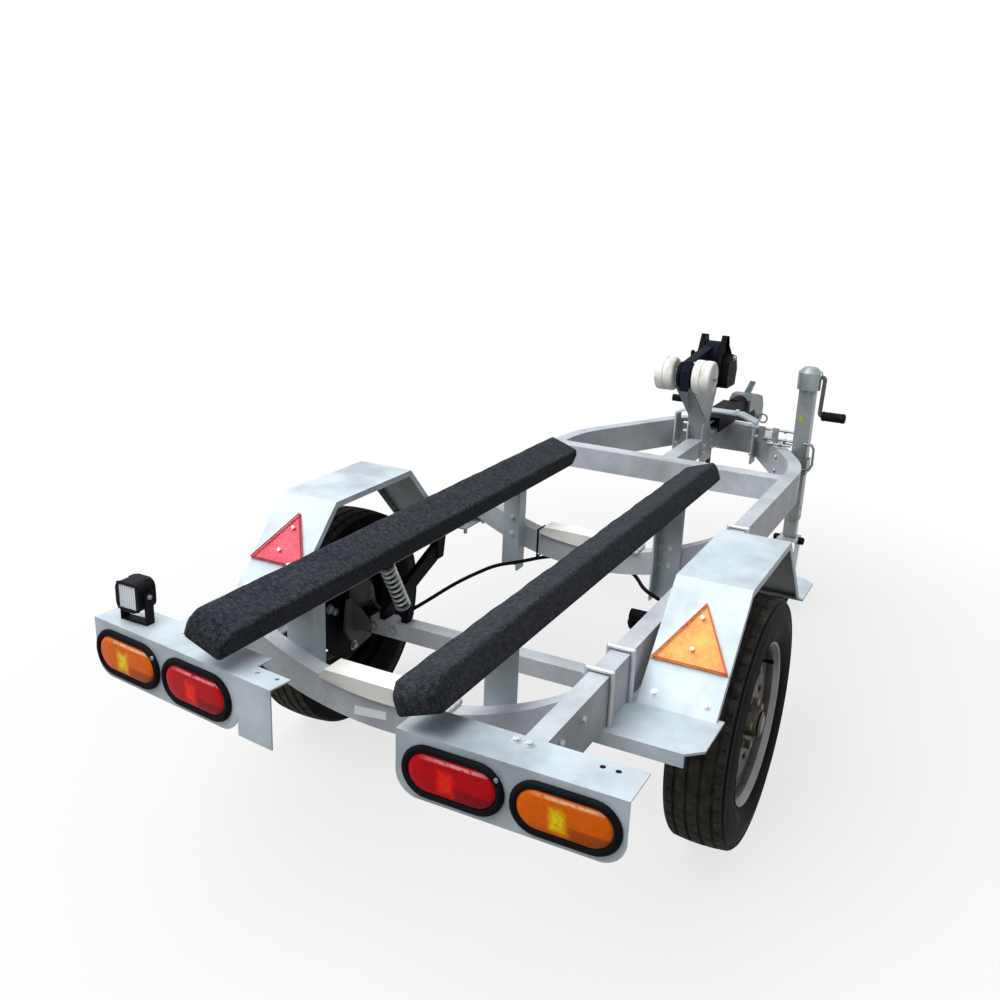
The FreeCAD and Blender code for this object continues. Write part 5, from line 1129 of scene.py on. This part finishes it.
def make_fender_lips():
    """The narrow lip folded down along each fender's outer edge."""
    low, high, middle = size_of("fender_right")
    run = (high.z - low.z) / math.tan(FENDER_SLOPE)
    half = (high.y - low.y) / 2
    lips = Shape()
    for sign in SIDES.values():
        rows = []
        for drop in (LIP_TOP, LIP_FOOT):
            foot = half - drop / math.sin(FENDER_SLOPE)
            bend = half - run - drop * math.tan(FENDER_SLOPE / 2)
            line = [(-foot, low.z), (-bend, high.z - drop), (bend, high.z - drop), (foot, low.z)]
            rows.append([Vector((sign * (high.x - 0.0005), middle.y + y, z)) for y, z in line])
        outside = [lips.ring(row) for row in rows]
        inside = [lips.ring([place - X * sign * LIP_THICK for place in row]) for row in reversed(rows)]
        lips.strip(outside + inside)
    lips.done("fender_lips", "galvanised", "frame", smooth=10)


# --------------------------------------------------------------------- trim
# Side, finish of the rim, and the rivets as shares of the height and of half the width.
REFLECTORS = (("right", "orange_rim", ((0.76, 0.0), (0.25, -0.03))),
              ("left", "red_rim", ((0.70, 0.02), (0.24, -0.10))))
# Share of the triangle's size, and how far the rim stands off it.
REFLECTOR_RIM = ((0.985, -0.003), (1.0, 0.0), (0.985, 0.0012), (0.950, 0.0012), (0.940, -0.001))


def make_reflector_trim():
    """A rim round each triangular reflector and the rivets that hold it."""
    for side, rim_slot, rivet_places in REFLECTORS:
        low, high, middle = size_of(f"reflector_{side}")
        slope = math.atan2(high.z - low.z, high.y - low.y)
        along = Vector((0, math.cos(slope), math.sin(slope)))
        out = Vector((0, -math.sin(slope), math.cos(slope)))
        foot = Vector((middle.x, low.y, low.z)) + out * 0.0075 + along * 0.003
        rise = math.hypot(high.z - low.z, high.y - low.y) - 0.006
        half = (high.x - low.x) / 2 - 0.002
        corners = [foot - X * half, foot + X * half, foot + along * rise]
        centre = sum(corners, Vector()) / 3
        rim = Shape()
        rim.skin([rim.ring([centre + (corner - centre) * scale + out * lift for corner in corners])
                  for scale, lift in REFLECTOR_RIM])
        rim.done(f"reflector_rim_{side}", rim_slot, "frame", smooth=20)
        rivets = Shape()
        for up, across in rivet_places:
            place = foot + along * rise * up + X * across * half
            rivets.lathe(place - out * 0.001, out, [(0, 0.0045), (0.0016, 0.0042), (0.0026, 0.0022)], 18)
        rivets.done(f"reflector_rivets_{side}", "label", "frame")


BOW_LABEL = ((-0.067, 0.4020), (0.006, 0.4100), (0.006, 0.4270), (-0.067, 0.4210))
STICKER_Z = 0.672
STICKER = ((-0.018, -0.013), (0.003, -0.013), (-0.0075, 0.012))
BAND_X, BAND_LOW, BAND_HIGH, BAND_OFF = -0.152, 0.394, 0.468, 0.0021
# How far out from the jack tube's side, and the height above the floor.
PULL_HANDLE = ((-0.012, 0.588), (0.014, 0.586), (0.022, 0.574), (0.023, 0.520), (0.015, 0.502),
               (-0.012, 0.497))
BOARD_HOLES = (("right", 0.509, 0.066), ("right", 0.535, 0.066), ("left", 0.384, 0.060),
               ("left", 0.363, 0.061))


def make_labels():
    """The blank label on the rear bow and the blank sticker on the jack."""
    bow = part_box("rear_bow_member")[0].y
    label = Shape().prism([Vector((x, bow - 0.0001, z)) for x, z in BOW_LABEL], -Y * 0.0004)
    label.done("bow_label", "label", "frame")
    low, _, tube = size_of("jack_tube")
    corners = [Vector((tube.x + x, low.y - 0.0004, STICKER_Z + z)) for x, z in STICKER]
    Shape().prism(corners, -Y * 0.0003).done("jack_sticker", "sticker", "frame")


def make_small_trim():
    """The tie band on the front bow, the jack's pull handle, and black discs painted as the shade in the lamp
    boards' spare holes.
    """
    low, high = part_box("front_bow_member")
    rear, front = low.y - BAND_OFF, high.y + BAND_OFF
    bottom, top = BAND_LOW - BAND_OFF, BAND_HIGH + BAND_OFF
    outline = [(rear, bottom), (front, bottom), (front, top), (rear, top), (rear, bottom)]
    band = Shape().tube([Vector((BAND_X, y, z)) for y, z in outline], 0.0028, 8)
    band.done("tie_band", "black_plastic", "frame")
    low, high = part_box("jack_tube")
    pull = Shape().tube([Vector((high.x + out, low.y - 0.004, z)) for out, z in PULL_HANDLE], 0.0042, 10)
    pull.done("jack_pull_handle", "zinc", "frame", smooth=60)
    low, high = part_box("lamp_board_right")
    # Black discs on the boards are painted shade that stands in for the spare holes.
    hole_shade_discs = Shape()
    for side, x, ahead in BOARD_HOLES:
        place = on_board(side, (x, low.y + ahead, high.z + 0.0002))
        hole_shade_discs.lathe(place, Z, [(0.0, 0.0050), (0.0003, 0.0046)], 18)
    hole_shade_discs.done("board_hole_shade", "black_plastic", "frame")


# ----------------------------------------------------- camera, light, floor
CAMERA_PLACE = Vector((0.982, -2.7162, 1.424))
CAMERA_YAW, CAMERA_PITCH, CAMERA_ROLL = 26.8968, -17.7452, 2.2174
CAMERA_LENS = 37.365
FLOOR_REACH = 14


def put_in_scene(name, data):
    item = bpy.data.objects.new(name, data)
    bpy.context.scene.collection.objects.link(item)
    return item


def make_camera():
    """The camera that was fitted to the photograph."""
    yaw, pitch, roll = (math.radians(angle) for angle in (CAMERA_YAW, CAMERA_PITCH, CAMERA_ROLL))
    forward = Vector((-math.sin(yaw) * math.cos(pitch), math.cos(yaw) * math.cos(pitch), math.sin(pitch)))
    right = Vector((math.cos(yaw), math.sin(yaw), 0))
    up = right.cross(forward)
    turned_right = right * math.cos(roll) + up * math.sin(roll)
    turned_up = up * math.cos(roll) - right * math.sin(roll)
    data = bpy.data.cameras.new("camera")
    data.lens = CAMERA_LENS
    data.sensor_width = 36
    camera = put_in_scene("camera", data)
    axes = Matrix((turned_right, turned_up, -forward)).transposed().to_4x4()
    camera.matrix_world = Matrix.Translation(CAMERA_PLACE) @ axes
    bpy.context.scene.camera = camera


def area_light(name, place, target, size, power, colour=(1, 1, 1)):
    data = bpy.data.lights.new(name, "AREA")
    data.shape = "RECTANGLE"
    data.size, data.size_y = size
    data.energy = power
    data.color = colour
    place, target = Vector(place), Vector(target)
    aim = (target - place).to_track_quat("-Z", "Y").to_matrix().to_4x4()
    put_in_scene(name, data).matrix_world = Matrix.Translation(place) @ aim


def make_world():
    """A pale sky, stronger on the left, that the camera sees as plain white."""
    world = bpy.data.worlds.new("studio")
    bpy.context.scene.world = world
    tree = Tree(world)
    place = tree.add("TexCoord", "Generated", {})
    sky = tree.ramp(tree.part(place, "Z"), (0.0, (0.10, 0.10, 0.105)), (0.75, (0.84, 0.92, 1.0)))
    lit = tree.nodes["Background"]
    tree.feed(lit.inputs["Color"], sky)
    tree.feed(lit.inputs["Strength"], tree.level(tree.part(place, "X"), 0.85, 0.28, -0.1, 0.8))
    white = tree.add("Background", 0, {"Color": (1, 1, 1), "Strength": 1.0})
    mixed = tree.add("MixShader", 0, {0: tree.seen_directly(), 1: lit.outputs[0], 2: white})
    tree.feed(tree.nodes["World Output"].inputs["Surface"], mixed)


def make_floor():
    """A pale floor that fades into the white backdrop away from the trailer."""
    reach = FLOOR_REACH
    shape = Shape()
    shape.face(shape.ring([(-reach, -reach, 0), (reach, -reach, 0), (reach, reach, 0), (-reach, reach, 0)]))
    data = bpy.data.meshes.new("floor")
    shape.mesh.to_mesh(data)
    shape.mesh.free()
    floor = put_in_scene("floor", data)
    floor.location.z = -0.0005
    finish = Finish("floor", 0.9, 0.0, Specular_IOR_Level=0.1)
    seen = finish.seen_directly()
    finish.colour(finish.mix(seen, (0.20, 0.19, 0.18), (0.52, 0.50, 0.48)))
    far = finish.level(finish.away((0, 0, 0), (1, 0.75, 0)), 0.72, 1.0, 0.6, 1.7)
    glow = finish.add("Emission", 0, {"Color": (1, 1, 1)})
    faded = finish.maths("MULTIPLY", far, seen)
    mixed = finish.add("MixShader", 0, {0: faded, 1: finish.shader.outputs[0], 2: glow})
    finish.feed(finish.nodes["Material Output"].inputs["Surface"], mixed)
    data.materials.append(finish.material)


dress_cad_nodes()
make_bunks()
for wheel_side, wheel_sign in SIDES.items():
    make_tyre(wheel_side)
    make_rim(wheel_side, wheel_sign)
make_lamps()
make_lamp_backs()
make_work_lamp()
make_springs()
make_hub_castings()
make_rollers()
make_winch_details()
make_post_bolts()
make_crank()
make_jockey_wheel()
make_jack_trim()
make_frame_bolts()
make_fender_bolts()
make_fender_lips()
make_clamp_details()
make_reflector_trim()
make_labels()
make_small_trim()
make_camera()
area_light("overhead", (-1.0, -1.7, 3.9), (0, -0.2, 0.4), (4.2, 3.6), 222, (0.93, 0.97, 1.0))
area_light("behind_camera", (-1.6, -4.4, 1.8), (0, -0.6, 0.4), (2.5, 2.0), 6)
make_world()
make_floor()
